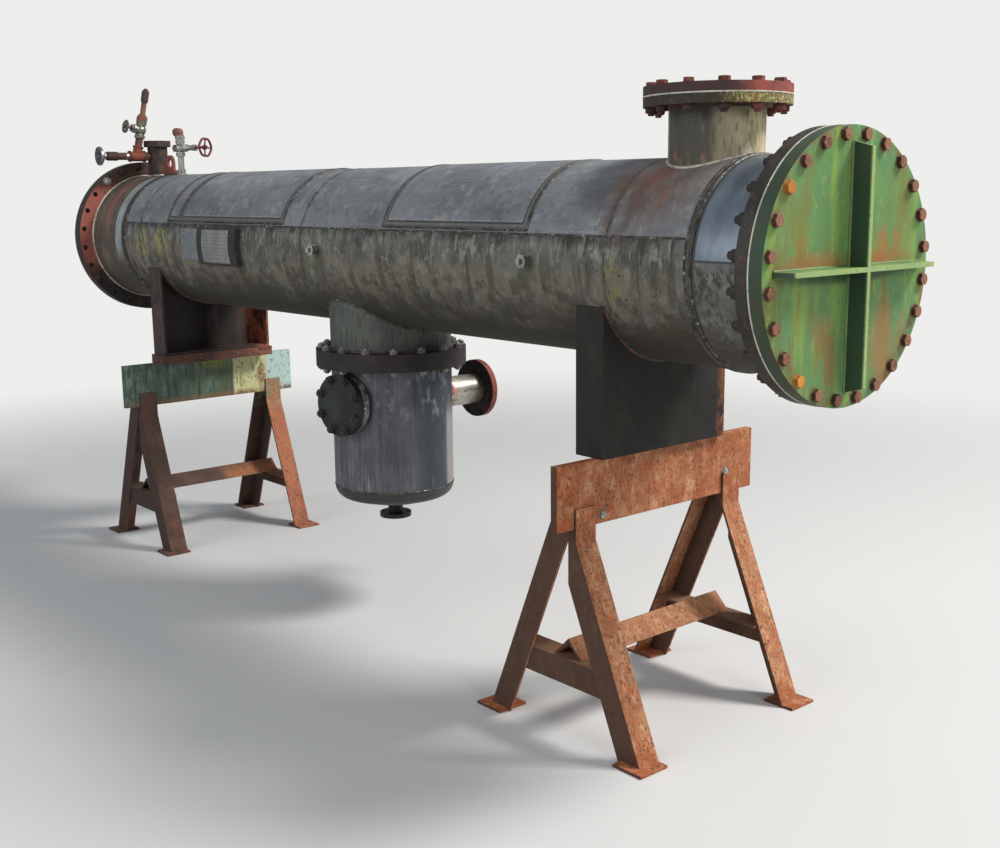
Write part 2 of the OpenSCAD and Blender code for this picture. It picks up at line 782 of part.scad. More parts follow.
// Half coupling and pipe from the shell up to the vent valve
module vent_riser() {
    foot = shell_r - 10;
    color("#a9a79f") difference() {
        translate([riser_x, 0, axis_h + foot]) {
            cylinder(h = 34, d = vent_pipe_d * 1.33);
            cylinder(h = vent_valve_h - foot - 36, d = vent_pipe_d);
        }
        shell_envelope();
    }
}

// Valve, union and the open elbow above it, which faces away along the shell.
// The valve's port opposite the handwheel is plugged.
module vent_valve() {
    elbow_z = 70;
    run_d = vent_pipe_d * 1.1;
    elbow_d = vent_pipe_d * 1.25;
    mouth = 32;
    color("#aeb0aa") translate([riser_x, 0, vent_valve_z]) {
        rotate([0, 0, 90 + vent_wheel_turn]) {
            screw_valve(36, vent_stem_seat, run_d);
            rotate([-90, 0, 0]) cylinder(h = 30, d = run_d * 0.85);
            translate([0, 22, 0]) rotate([-90, 0, 0]) hex(run_d * 1.2, 12);
        }
        translate([0, 0, 39]) hex(vent_pipe_d * 1.6, 12);
        difference() {
            union() {
                cylinder(h = elbow_z, d = run_d);
                translate([0, 0, elbow_z]) sphere(d = elbow_d);
                translate([0, 0, elbow_z]) rotate([0, -90, 0]) cylinder(h = mouth, d = elbow_d);
                translate([8 - mouth, 0, elbow_z]) rotate([0, -90, 0])
                    cylinder(h = 8, d = elbow_d * 1.15);
                translate([0, 0, elbow_z - 20]) cylinder(h = 8, d = elbow_d * 1.15);
            }
            translate([-mouth - 1, 0, elbow_z]) rotate([0, 90, 0])
                cylinder(h = 26, d = outlet_bore_d);
        }
    }
}

module vent_handwheel()
    color("#8f3038") translate([riser_x, 0, vent_valve_z]) rotate([0, 0, 90 + vent_wheel_turn])
        translate([0, -vent_stem_seat, 0]) handwheel(wheel_d, wheel_out - vent_stem_seat);

// Plate lug with a round head and a shackle eye
module lifting_lug() {
    head_r = lug_w * 0.36;
    color("#a9584f") difference() {
        translate([far_channel_x - lug_at, lug_t / 2, axis_h + shell_r]) rotate([90, 0, 0])
            linear_extrude(lug_t) difference() {
                union() {
                    translate([0, lug_h]) circle(r = head_r);
                    translate([-head_r, 0]) square([2 * head_r, lug_h]);
                    translate([-lug_w / 2, -10]) square([lug_w, 24]);
                }
                translate([0, lug_h]) circle(d = lug_eye_d);
            }
        shell_envelope();
    }
}

// Half couplings with square-headed plugs on the data-plate side
module side_couplings() {
    color("#aaa8a2") difference() {
        for (at = coupling_at) translate([shell_x - at, 0, axis_h]) rotate([90, 0, 0]) {
            cylinder(h = shell_r + coupling_out, d = coupling_d);
            translate([-7, -7, shell_r + coupling_out - eps]) cube([14, 14, 12]);
        }
        shell_envelope();
    }
}

// A curved plate round the -Y side, its near edge a given distance from the near tube
// sheet, its back at radius r
module side_plate(at, w, h, r, t) {
    half = asin(h / 2 / shell_r);
    drop = asin(plate_drop / shell_r);
    translate([shell_x - at - w, 0, axis_h]) rotate([0, 90, 0])
        rotate([0, 0, 270 + drop - half]) rotate_extrude(angle = 2 * half)
            translate([r, 0]) square([t, w]);
}

// Rolled bracket that holds the data plate off the shell on two upright sides
module plate_bracket() {
    w = plate_w + 2 * plate_lip;
    h = plate_h + 16;
    color("#2e2d2b") {
        side_plate(bracket_at, w, h, shell_r + plate_off, bracket_t);
        for (at = [bracket_at, bracket_at + w - bracket_t])
            side_plate(at, bracket_t, h, shell_r + seat, plate_off);
    }
}

// Thin bare plate that follows the shell beside the bracket
module blank_plate()
    color("#c4c3bb") side_plate(blank_at, blank_w, blank_h, shell_r + seat, 2);

module data_plate()
    color("#9a9b97") side_plate(plate_at, plate_w, plate_h,
        shell_r + plate_off + bracket_t + seat, 1.5);

shell();
near_tube_sheet();
far_tube_sheet();
near_channel();
far_channel();
near_body_flange();
near_gasket();
near_cover();
cover_ribs();
far_body_flange();
far_cover();
doubler_plates();
top_nozzle_neck();
top_nozzle_flange();
top_nozzle_gasket();
top_nozzle_blind();
hotwell_neck();
hotwell_upper_flange();
hotwell_lower_flange();
hotwell_drum();
rear_nozzle_pipe();
rear_nozzle_flange();
front_nozzle_neck();
front_nozzle_blind();
drain_nozzle();
near_saddle();
far_saddle();
far_packing();
near_trestle_beam();
near_trestle_legs();
near_trestle_braces();
near_trestle_stretcher();
far_trestle_beam();
far_trestle_legs();
far_trestle_braces();
far_trestle_stretcher();
vent_neck();
gauge_branch();
dial_gauge();
gauge_valve();
gauge_handwheel();
vent_riser();
vent_valve();
vent_handwheel();
lifting_lug();
side_couplings();
plate_bracket();
data_plate();
blank_plate();
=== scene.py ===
import bpy
import math
from mathutils import Matrix, Vector


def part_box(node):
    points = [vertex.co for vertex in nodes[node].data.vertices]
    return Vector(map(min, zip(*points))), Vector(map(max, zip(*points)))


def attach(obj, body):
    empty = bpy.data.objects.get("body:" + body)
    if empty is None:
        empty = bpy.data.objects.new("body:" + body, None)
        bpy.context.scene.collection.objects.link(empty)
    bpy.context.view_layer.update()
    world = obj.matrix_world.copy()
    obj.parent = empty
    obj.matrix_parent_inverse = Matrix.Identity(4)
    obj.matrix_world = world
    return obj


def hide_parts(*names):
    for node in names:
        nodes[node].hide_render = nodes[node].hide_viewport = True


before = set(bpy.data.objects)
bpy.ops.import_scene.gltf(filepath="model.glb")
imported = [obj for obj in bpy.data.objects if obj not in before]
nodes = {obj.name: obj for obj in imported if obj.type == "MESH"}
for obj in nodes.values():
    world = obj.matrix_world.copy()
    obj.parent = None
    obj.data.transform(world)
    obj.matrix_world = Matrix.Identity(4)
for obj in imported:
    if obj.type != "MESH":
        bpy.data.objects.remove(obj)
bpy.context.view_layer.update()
scene = bpy.context.scene
print("frame loaded:", len(nodes), "CAD nodes")


def middleOf(name, axis=0):
    return sum(corner[axis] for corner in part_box(name)) / 2


def halfOf(name, axis=0):
    low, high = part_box(name)
    return (high[axis] - low[axis]) / 2


# Real places, read from the CAD nodes, in metres
axisZ = middleOf("shell", 2)
shellR = halfOf("shell", 2)
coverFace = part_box("near_cover")[1][0]
nearBack, nearFront = (corner[0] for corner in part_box("near_body_flange"))
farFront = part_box("far_body_flange")[1][0]
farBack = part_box("far_cover")[0][0]
drumX = middleOf("hotwell_drum")
drumR = halfOf("hotwell_drum")
topX = middleOf("top_nozzle_blind")
topLow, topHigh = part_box("top_nozzle_blind")
topUnder, topOver = (corner[2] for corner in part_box("top_nozzle_flange"))
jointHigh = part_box("hotwell_upper_flange")[1][2]
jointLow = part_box("hotwell_lower_flange")[0][2]
ventX = middleOf("vent_neck")
riserX = middleOf("vent_riser")
roundSeams = (1.366, -0.137, -1.439, -1.767)
seamArc = 0.363  # from the shell's top round to its lengthwise seam
lapPlates = dict(ends=((-1.185, -1.074), (-1.070, -0.267), (0.353, 1.051)), halfArc=0.3545)


def linear(hexText):
    # sRGB hex to linear rgba
    parts = [int(hexText[i:i + 2], 16) / 255 for i in (1, 3, 5)]
    return (*(p / 12.92 if p <= 0.04045 else ((p + 0.055) / 1.055) ** 2.4 for p in parts), 1.0)


def add(tree, kind, inputs=None, **settings):
    # a new node; an input is a value, a socket, a node for its first output, or a list of those
    made = tree.nodes.new(kind)
    for key, value in settings.items():
        setattr(made, key, value)
    for key, value in (inputs or {}).items():
        for part in value if isinstance(value, list) else [value]:
            if isinstance(part, bpy.types.Node):
                part = part.outputs[0]
            if isinstance(part, bpy.types.NodeSocket):
                tree.links.new(part, made.inputs[key])
            else:
                made.inputs[key].default_value = part
    return made


def readings(tree):
    # what masks read, in the part's own metres: "object" is the place, "rolled" is x and the way
    # round the shell from its top, "folded" the same on both sides with y; the others are single
    # numbers: x, y, z, "round" and "arc" are the ways round, faceX, faceY and faceZ the normal
    found = add(tree, "ShaderNodeTexCoord").outputs
    x, y, z = add(tree, "ShaderNodeSeparateXYZ", {0: found["Object"]}).outputs
    up = add(tree, "ShaderNodeMath", {0: z, 1: axisZ}, operation="SUBTRACT")
    turn = add(tree, "ShaderNodeMath", {0: y, 1: up}, operation="ARCTAN2")
    way = add(tree, "ShaderNodeMath", {0: turn, 1: shellR}, operation="MULTIPLY")
    arc = add(tree, "ShaderNodeMath", {0: way}, operation="ABSOLUTE")
    rolled = add(tree, "ShaderNodeCombineXYZ", {0: x, 1: way})
    folded = add(tree, "ShaderNodeCombineXYZ", {0: x, 1: arc, 2: y})
    faceX, faceY, faceZ = add(tree, "ShaderNodeSeparateXYZ", {0: found["Normal"]}).outputs
    return {"object": found["Object"], "rolled": rolled, "folded": folded, "x": x, "y": y, "z": z,
            "round": way, "arc": arc, "faceX": faceX, "faceY": faceY, "faceZ": faceZ}


def makeMask(tree, read, kind, *numbers):
    # low is where a mask is dark and high where it is light; low may be the greater of the two
    source = read["object"]
    if isinstance(numbers[0], str):
        source = read[numbers[0]]
        numbers = numbers[1:]
    if kind == "noise":  # flecks per metre, one number or three, low, high, detail
        stretch, low, high, detail = numbers
        moved = add(tree, "ShaderNodeMapping", {
            "Vector": source, "Scale": stretch if isinstance(stretch, tuple) else (stretch,) * 3,
            "Location": (low * 7, high * 5, detail)})
        value = add(tree, "ShaderNodeTexNoise", {
            "Vector": moved, "Scale": 1.0, "Detail": detail, "Roughness": 0.62})
    elif kind == "spots":  # spots per metre, low, high
        stretch, low, high = numbers
        value = add(tree, "ShaderNodeTexVoronoi", {"Vector": source, "Scale": stretch}, feature="F1")
    elif kind == "band":  # low, high
        low, high = numbers
        value = source
    elif kind == "stripe":  # centre, half width outside, half width inside
        centre, low, high = numbers
        off = add(tree, "ShaderNodeMath", {0: source, 1: centre}, operation="SUBTRACT")
        value = add(tree, "ShaderNodeMath", {0: off}, operation="ABSOLUTE")
    elif kind == "comb":  # pitch of even lines, low, high
        pitch, low, high = numbers
        value = add(tree, "ShaderNodeMath", {0: source, 1: pitch / 2}, operation="PINGPONG")
    elif kind == "rim":  # centre, half sizes, low, high: how near an oblong's edge, from inside
        centre, size, low, high = numbers
        off = add(tree, "ShaderNodeVectorMath", {0: source, 1: centre}, operation="SUBTRACT")
        away = add(tree, "ShaderNodeVectorMath", {0: off}, operation="ABSOLUTE")
        past = add(tree, "ShaderNodeVectorMath", {0: away, 1: size}, operation="SUBTRACT")
        split = add(tree, "ShaderNodeSeparateXYZ", {0: past}).outputs
        value = add(tree, "ShaderNodeMath", {0: split[0], 1: split[1]}, operation="MAXIMUM")
    else:  # blob: centre, half sizes; ring: centre, axes that count, low, high
        centre, size, low, high = (*numbers, 1.0, 0.35)[:4]
        off = add(tree, "ShaderNodeVectorMath", {0: source, 1: centre}, operation="SUBTRACT")
        part = add(tree, "ShaderNodeVectorMath", {0: off, 1: size},
                   operation="DIVIDE" if kind == "blob" else "MULTIPLY")
        value = add(tree, "ShaderNodeVectorMath", {0: part}, operation="LENGTH").outputs["Value"]
    return add(tree, "ShaderNodeMapRange", {
        "Value": value, "From Min": min(low, high), "From Max": max(low, high),
        "To Min": float(low > high), "To Max": float(low <= high)}, interpolation_type="SMOOTHSTEP")


def coat(colour, amount, *masks, **rest):
    # a layer of dirt, rust or paint, as thick as its masks multiplied; rest is rough and metal
    return dict(rest, colour=colour, amount=amount, masks=masks)


# Sizes: noise of 100 has flecks of about 10 mm and of 300 about 3 mm. Real rust and dust are finer
# than that, and are drawn as coarse as they need to show from a few metres away.
rustCoats = [
    coat("#6e3b26", 0.7, ("noise", (42, 42, 30), 0.5, 0.63, 6), rough=0.88, metal=0),
    coat("#3c2a22", 0.7, ("noise", (110, 110, 90), 0.55, 0.66, 5), rough=0.88),
]


def finish(name, first, second, coats=rustCoats, mix=("noise", (14, 14, 9), 0.38, 0.62, 5),
           rough=0.75, metal=0.1, grain=(420, 0.22), dents=None, edge=0.0015):
    # two colours mixed in clouds under the coats; grain and dents are a bump's flecks per metre
    # and its depth in mm, and edge is how far the light rounds a corner
    made = bpy.data.materials.new(name)
    made.use_nodes = True
    tree = made.node_tree
    tree.nodes.clear()
    read = readings(tree)
    colour = add(tree, "ShaderNodeMix", {
        0: makeMask(tree, read, *mix), 6: linear(first), 7: linear(second)}, data_type="RGBA").outputs[2]
    for layer in coats:
        mask = layer["amount"]
        for spec in layer["masks"]:
            value = makeMask(tree, read, *spec)
            mask = add(tree, "ShaderNodeMath", {0: mask, 1: value}, operation="MULTIPLY")
        colour = add(tree, "ShaderNodeMix", {
            0: mask, 6: colour, 7: linear(layer["colour"])}, data_type="RGBA").outputs[2]
        if "rough" in layer:
            rough = add(tree, "ShaderNodeMix", {0: mask, 2: rough, 3: layer["rough"]}, data_type="FLOAT")
        if "metal" in layer:
            metal = add(tree, "ShaderNodeMix", {0: mask, 2: metal, 3: layer["metal"]}, data_type="FLOAT")
    height = 0.0
    for scale, depth in (grain, dents) if dents else (grain,):
        field = add(tree, "ShaderNodeTexNoise", {"Vector": read["object"], "Scale": scale, "Detail": 3.0})
        height = add(tree, "ShaderNodeMath", {0: field, 1: depth, 2: height}, operation="MULTIPLY_ADD")
    soft = add(tree, "ShaderNodeBevel", {"Radius": edge}, samples=4)
    bump = add(tree, "ShaderNodeBump", {
        "Strength": 1.0, "Distance": 0.001, "Height": height, "Normal": soft})
    shade = add(tree, "ShaderNodeBsdfPrincipled", {
        "Base Color": colour, "Normal": bump, "Roughness": rough, "Metallic": metal})
    add(tree, "ShaderNodeOutputMaterial", {0: shade})
    return made


# Rolled stainless plate: a soft grey sheen on top with faint mill lines, and below the seam
# grime washed down in runs, so that the eye reads years of rain on a smooth cylinder
belowSeam = ("band", "arc", seamArc, seamArc + 0.003)
plateLayers = [
    coat("#9c9d9d", 0.6, ("noise", 22, 0.5, 0.66, 6), rough=0.42),
    coat("#55565b", 0.5, ("noise", 48, 0.52, 0.66, 6)),
    coat("#b5b4b0", 0.45, ("noise", (4, 330, 330), 0.6, 0.68, 3),
        ("noise", "rolled", (3, 6, 2), 0.46, 0.6, 3), rough=0.4),
    coat("#a0a1a6", 0.3, ("noise", "folded", (2.2, 170, 3), 0.52, 0.7, 4),
        ("noise", "rolled", (2, 4, 1), 0.42, 0.62, 3), rough=0.38),
    coat("#50525a", 0.55, ("noise", "rolled", (4, 7, 1), 0.5, 0.7, 5)),
    coat("#3d3e42", 0.55, ("noise", 150, 0.58, 0.68, 3), ("noise", "rolled", (5, 6, 2), 0.45, 0.6, 3)),
    # the side: cloudy grey-green grime, dark and pale patches of every size
    coat("#65655f", 0.92, ("band", "arc", seamArc - 0.001, seamArc + 0.002), rough=0.64),
    coat("#43433f", 0.8, ("noise", (16, 16, 10), 0.44, 0.6, 6), belowSeam),
    coat("#929083", 0.75, ("noise", (26, 26, 15), 0.5, 0.64, 6), ("band", "arc", 0.37, 0.4)),
    coat("#a3a095", 0.6, ("noise", "folded", (60, 14, 1), 0.54, 0.66, 6), ("band", "arc", 0.366, 0.375),
        ("band", "arc", 0.46, 0.4)),
    coat("#7b7363", 0.72, ("band", "arc", 0.41, 0.49), ("noise", 9, 0.34, 0.6, 6), rough=0.7),
    coat("#46423a", 0.8, ("band", "arc", 0.42, 0.54), ("noise", 20, 0.46, 0.62, 6)),
    # broad dark runs that follow the curve right down
    coat("#3b3931", 0.6, ("noise", "folded", (17, 1.6, 1), 0.53, 0.63, 4), ("band", "arc", 0.39, 0.46),
        ("band", "arc", 0.7, 0.58)),
    # olive brown underneath, partly grime and partly painted shade under the cylinder
    coat("#413c31", 0.85, ("band", "arc", 0.5, 0.62), ("noise", 8, 0.3, 0.6, 5), rough=0.8),
    coat("#343027", 0.92, ("band", "arc", 0.57, 0.7), rough=0.85),
    # grime runs that hang from the seam, broad then fine
    coat("#31332f", 0.8, ("noise", "folded", (30, 4, 1), 0.48, 0.64, 6),
        ("noise", "folded", (5, 1.5, 1), 0.38, 0.58, 3), belowSeam, ("band", "arc", 0.47, 0.385),
        rough=0.78),
    coat("#262724", 0.85, ("noise", "folded", (150, 9, 1), 0.5, 0.6, 5),
        ("noise", "folded", (11, 2, 1), 0.42, 0.56, 3), belowSeam, ("band", "arc", 0.43, 0.37),
        rough=0.8),
    coat("#9b988b", 0.35, ("noise", "folded", (70, 7, 2), 0.56, 0.66, 5), ("noise", 6, 0.48, 0.6, 3),
        ("band", "arc", 0.37, 0.38), ("band", "arc", 0.52, 0.42)),
    # black lichen specks, and dirt lodged along the seam
    coat("#242420", 0.75, ("noise", (120, 120, 80), 0.56, 0.62, 5), ("noise", 6, 0.45, 0.6, 3),
        ("band", "arc", 0.355, 0.38), rough=0.85),
    coat("#2e2e2b", 0.75, belowSeam, ("band", "arc", 0.396, 0.368),
        ("noise", "folded", (26, 24, 1), 0.42, 0.58, 6), rough=0.8),
    coat("#232321", 0.9, ("stripe", "arc", seamArc, 0.0045, 0.002)),
]
# Dark heat marks beside the round seams
for place in roundSeams[:3]:
    plateLayers.append(coat("#45433f", 0.6, ("stripe", "x", place, 0.017, 0.009),
        ("noise", 40, 0.4, 0.58, 5), rough=0.6))
stains = [
    # painted shadow: the top nozzle's shadow laid on the sheet toward -X as a dark blue-grey patch
    coat("#464a4f", 0.6, ("blob", "rolled", (topX - 0.2, -0.12, 0), (0.15, 0.2, 1)),
        ("noise", "rolled", (8, 5, 1), 0.3, 0.58, 6)),
    # brown flush all round the foot of the top nozzle
    coat("#75604f", 0.65, ("blob", "rolled", (topX + 0.04, -0.14, 0), (0.34, 0.26, 1)),
        ("noise", "rolled", (9, 4, 1), 0.34, 0.62, 6), rough=0.75, metal=0),
    # rust washed out from under the top nozzle
    coat("#5f4a41", 0.85, ("blob", "rolled", (topX - 0.06, -0.2, 0), (0.2, 0.22, 1)),
        ("noise", "rolled", (12, 6, 1), 0.36, 0.6, 6), rough=0.8, metal=0),
    coat("#7d4937", 0.6, ("blob", "rolled", (topX - 0.03, -0.2, 0), (0.1, 0.14, 1)),
        ("noise", "rolled", (26, 8, 1), 0.42, 0.6, 6), rough=0.8, metal=0),
    coat("#55443c", 0.7, ("blob", "rolled", (topX - 0.12, -0.28, 0), (0.1, 0.14, 1)),
        ("noise", "rolled", (20, 7, 1), 0.4, 0.6, 6), rough=0.8, metal=0),
    # yellow-green lichen
    coat("#7c7a3a", 0.75, ("blob", "rolled", (1.385, -0.49, 0), (0.06, 0.1, 1)),
        ("noise", (60, 60, 40), 0.44, 0.6, 6), rough=0.9, metal=0),
    coat("#6d6c3c", 0.6, ("blob", "rolled", (1.47, -0.5, 0), (0.05, 0.08, 1)),
        ("noise", (60, 60, 40), 0.46, 0.6, 6), rough=0.9, metal=0),
    coat("#96904a", 0.8, ("blob", "rolled", (-1.42, -0.44, 0), (0.08, 0.09, 1)),
        ("noise", (50, 50, 34), 0.44, 0.6, 6), rough=0.9, metal=0),
    coat("#9a934c", 0.75, ("blob", "rolled", (-1.24, -0.43, 0), (0.12, 0.08, 1)),
        ("noise", (50, 50, 34), 0.45, 0.6, 6), rough=0.9, metal=0),
]
for place in (1.066, -0.032):
    stains.append(coat("#55543a", 0.8, ("blob", "rolled", (place, -0.47, 0), (0.045, 0.09, 1)),
        ("noise", 50, 0.36, 0.56, 4), rough=0.85, metal=0))
plateMix = dict(mix=("noise", "rolled", (3, 5, 1), 0.34, 0.66, 5), rough=0.5, metal=0.3, grain=(700, 0.1))
shellPlate = finish("weatheredRolledStainlessPlate", "#80858a", "#6a6f74", plateLayers + stains,
                    dents=(5, 0.9), edge=0.001, **plateMix)

# The lapped plates: the same sheet with dark heat bands just inside their welded edges
padLayers = plateLayers[:6]
for low, high in lapPlates["ends"]:
    centre = ((low + high) / 2, 0, 0)
    half = ((high - low) / 2, lapPlates["halfArc"], 9)
    inside = ("rim", "rolled", centre, half, 0.004, 0.001)
    padLayers = padLayers + [
        coat("#5f5c57", 0.8, ("rim", "rolled", centre, half, -0.027, -0.02),
            ("noise", 34, 0.24, 0.44, 6), inside, rough=0.62),
        coat("#33312e", 0.85, ("rim", "rolled", centre, half, -0.012, -0.004),
            ("noise", 60, 0.36, 0.54, 5), inside, rough=0.7),
        coat("#2b2a28", 0.85, ("rim", "rolled", centre, half, -0.025, -0.0215),
            ("rim", "rolled", centre, half, -0.016, -0.0195)),
        coat("#a5a39d", 0.6, ("rim", "rolled", centre, half, -0.0295, -0.0275),
            ("rim", "rolled", centre, half, -0.024, -0.026), ("noise", 50, 0.42, 0.56, 4))]
padPlate = finish("lappedStainlessPlateWeldTinted", "#80858a", "#6a6f74", padLayers,
                  dents=(5, 0.9), **plateMix)

# Near channel: brighter rolled sheet that mirrors the floor, dulled and specked below its seam
channelPlate = finish("brightRolledStainlessChannel", "#7c8893", "#66707c", [
    coat("#66665f", 0.9, ("band", "arc", 0.416, 0.42), rough=0.65, metal=0.15),
    coat("#8d8b82", 0.6, ("noise", (28, 28, 20), 0.5, 0.66, 6), ("band", "arc", 0.416, 0.43)),
    coat("#33312b", 0.85, ("noise", (70, 70, 50), 0.48, 0.57, 6),
        ("noise", (15, 15, 13), 0.36, 0.52, 4), ("band", "arc", 0.41, 0.45), rough=0.8, metal=0),
    # darker towards the bottom: olive brown, then near black underneath, partly grime and partly painted
    # shade under the cylinder
    coat("#4c4538", 0.75, ("noise", 14, 0.42, 0.62, 5), ("band", "arc", 0.46, 0.55), rough=0.8,
        metal=0),
    coat("#37332a", 0.9, ("band", "arc", 0.56, 0.7), rough=0.85, metal=0),
    coat("#3c3b39", 0.9, ("stripe", "arc", 0.418, 0.004, 0.002)),
    coat("#3b3733", 0.8, ("stripe", "x", nearBack, 0.024, 0.006), ("noise", 50, 0.3, 0.5, 4),
        rough=0.7),
    coat("#45433f", 0.8, ("stripe", "x", 1.666, 0.014, 0.009), rough=0.7),
], mix=("noise", "rolled", (14, 4, 1), 0.35, 0.65, 4), rough=0.36, metal=0.55,
    grain=(700, 0.08), dents=(7, 0.8))

# Far channel: primer and grime in rings, with a pale washed band next to the tube sheet
farPlate = finish("primedAndGrimedChannelPlate", "#6a6055", "#50473f", [
    coat("#8d5247", 0.8, ("stripe", "x", -1.79, 0.035, 0.02), ("band", "z", axisZ - 0.02, axisZ + 0.14),
        ("noise", 30, 0.3, 0.55, 4)),
    coat("#4e3f37", 0.75, ("stripe", "x", -1.72, 0.04, 0.02), ("noise", 24, 0.35, 0.6, 4)),
    coat("#a3adb0", 0.85, ("stripe", "x", -1.655, 0.042, 0.034), ("band", "arc", 0.56, 0.44),
        ("noise", "folded", (60, 5, 2), 0.28, 0.5, 4), rough=0.45, metal=0.3),
    # near black underneath, partly grime and partly painted shade under the cylinder
    coat("#38312a", 0.9, ("band", "arc", 0.5, 0.64), rough=0.85, metal=0),
    coat("#2d2825", 0.7, ("noise", "folded", (70, 8, 2), 0.54, 0.66, 5)),
], mix=("noise", "rolled", (12, 6, 1), 0.35, 0.65, 4), rough=0.65, metal=0.1,
    grain=(600, 0.14), dents=(7, 0.8))

# Brushed enamel on the cover: green gone chalky in uprights, rust bleeding down from scratches and
# lying in the corner above the level rib, so that it reads as old paint on thick plate
coverLayers = [
    coat("#4b7b56", 0.65, ("noise", (1, 7, 1.3), 0.46, 0.6, 4)),
    coat("#7f9b41", 0.6, ("noise", (1, 13, 1.8), 0.5, 0.64, 5)),
    coat("#93a566", 0.35, ("noise", (50, 50, 26), 0.54, 0.7, 6)),
    coat("#6a6230", 0.75, ("noise", (1, 15, 2.6), 0.52, 0.66, 6), ("noise", (3, 4, 3), 0.42, 0.6, 3),
        rough=0.7),
    coat("#865a30", 0.6, ("noise", (1, 34, 4), 0.55, 0.66, 6), ("noise", (2, 5, 3), 0.46, 0.6, 3),
        rough=0.8),
    coat("#6d4428", 0.8, ("noise", (110, 110, 80), 0.6, 0.66, 5), ("noise", 8, 0.46, 0.6, 3),
        rough=0.8),
    coat("#84552b", 0.85, ("band", "z", axisZ + 0.05, axisZ + 0.01),
        ("band", "z", axisZ + 0.001, axisZ + 0.006), ("noise", (6, 8, 22), 0.36, 0.54, 6),
        ("blob", (coverFace, 0, axisZ), (1, 0.36, 1)), rough=0.8),
    coat("#8a6236", 0.6, ("blob", (coverFace, 0.18, axisZ - 0.2), (1, 0.13, 0.15)),
        ("noise", (1, 14, 6), 0.4, 0.6, 6), rough=0.8),
    coat("#946636", 0.7, ("blob", (coverFace, -0.16, axisZ + 0.008), (1, 0.16, 0.05)),
        ("noise", (9, 9, 16), 0.3, 0.5, 6), ("band", "z", axisZ + 0.001, axisZ + 0.006), rough=0.8),
    coat("#966838", 0.7, ("blob", (coverFace, 0.165, axisZ + 0.008), (1, 0.14, 0.06)),
        ("noise", (9, 9, 16), 0.28, 0.48, 6), ("band", "z", axisZ + 0.001, axisZ + 0.006), rough=0.8),
    # painted shadow: a dark green band on the cover just under the level rib
    coat("#2f4c2e", 0.8, ("blob", (coverFace, -0.02, axisZ - 0.016), (1, 0.33, 0.024)),
        ("noise", 40, 0.2, 0.45, 3)),
    coat("#6d4f33", 0.6, ("ring", (0, 0, axisZ), (0, 1, 1), 0.298, 0.318), ("noise", 16, 0.47, 0.6, 6),
        rough=0.8),
]
for y, z, wide, high, shade in ((-0.20, 0.14, 0.10, 0.17, "#6a6a2c"), (0.21, 0.13, 0.09, 0.15, "#6a642c"),
                                (-0.10, -0.21, 0.09, 0.15, "#7c5a30"), (0.16, -0.20, 0.10, 0.17, "#84673a"),
                                (-0.17, 0.04, 0.13, 0.06, "#8a5a30"), (0.16, 0.05, 0.11, 0.07, "#94602f")):
    coverLayers.append(coat(shade, 0.72, ("blob", (coverFace, y, axisZ + z), (1, wide, high)),
        ("noise", (1, 17, 5), 0.4, 0.6, 6), rough=0.78))
coverPaint = finish("brushedGreenEnamelOverPlate", "#628847", "#557d49",
    coverLayers + [
        # the rim and the other faces not turned to +X are dark green, partly dirt and partly painted shade,
        # and the holes' surrounds are rubbed
        coat("#22382a", 0.92, ("band", "faceX", 0.8, 0.5), rough=0.6),
        coat("#4f3a2b", 0.6, ("band", "faceX", 0.8, 0.5), ("noise", 40, 0.5, 0.62, 5), rough=0.8)],
    mix=("noise", (4, 5, 2), 0.4, 0.6, 3), rough=0.55, metal=0, grain=(420, 0.2), dents=(16, 0.6))
ribPaint = finish("brushedGreenEnamelOverBar", "#628849", "#527a4a",
    coverLayers[:6] + [
        # painted shade: near black green on the ribs' faces turned to -Y and dark green on their
        # undersides; painted highlight: a pale green line on their outer edges
        coat("#1e3a2c", 0.9, ("band", "faceY", -0.3, -0.8), rough=0.6),
        coat("#26392a", 0.85, ("band", "faceZ", -0.3, -0.8), rough=0.6),
        coat("#9db376", 0.6, ("band", "x", coverFace + 0.049, coverFace + 0.054)),
        coat("#5a4028", 0.5, ("noise", 90, 0.58, 0.66, 5), rough=0.8)],
    mix=("noise", (4, 9, 9), 0.4, 0.6, 3), rough=0.55, metal=0, grain=(420, 0.16))
print("shell and cover finishes made")

# painted shade: dark brown on faces turned to -Y or -X, and on upward faces between the feet and the beam
shadeSide = coat("#3d2d24", 0.88, ("band", "faceY", -0.25, -0.8), rough=0.85)
shadeEnd = coat("#4d382c", 0.65, ("band", "faceX", -0.3, -0.8), rough=0.85)
shadeTop = coat("#54402f", 0.7, ("band", "faceZ", 0.6, 0.9), ("band", "z", 0.04, 0.07),
    ("band", "z", 0.62, 0.56), rough=0.85)
# Mill scale gone to orange rust, pitted and flecked dark, dusty in the middle of each face; dark
# brown on the faces turned to -Y and -X and on the braces' tops as painted shade
trestleRust = finish("rustedAngleIronOrange", "#b3805d", "#9c6646", [
    coat("#cda17c", 0.6, ("noise", (34, 34, 16), 0.5, 0.66, 6)),
    coat("#b0571f", 0.65, ("noise", (52, 52, 30), 0.54, 0.66, 6)),
    coat("#b35a22", 0.7, ("band", "y", -0.33, -0.4), ("noise", (30, 30, 18), 0.4, 0.6, 6)),
    coat("#8b4a2a", 0.6, ("noise", (90, 90, 11), 0.53, 0.64, 6)),
    coat("#94481f", 0.75, ("band", "z", 0.1, 0.02), ("noise", 30, 0.35, 0.55, 4)),
    coat("#94481f", 0.65, ("band", "z", 0.54, 0.61), ("noise", 24, 0.38, 0.6, 5)),
    coat("#5a3322", 0.9, ("noise", (110, 110, 64), 0.555, 0.61, 5),
        ("noise", (14, 14, 10), 0.4, 0.58, 4), rough=0.9),
    coat("#3c261c", 0.9, ("noise", (230, 230, 150), 0.585, 0.63, 3), rough=0.92),
    shadeTop, shadeSide, shadeEnd], rough=0.86, metal=0.05, grain=(380, 0.4))
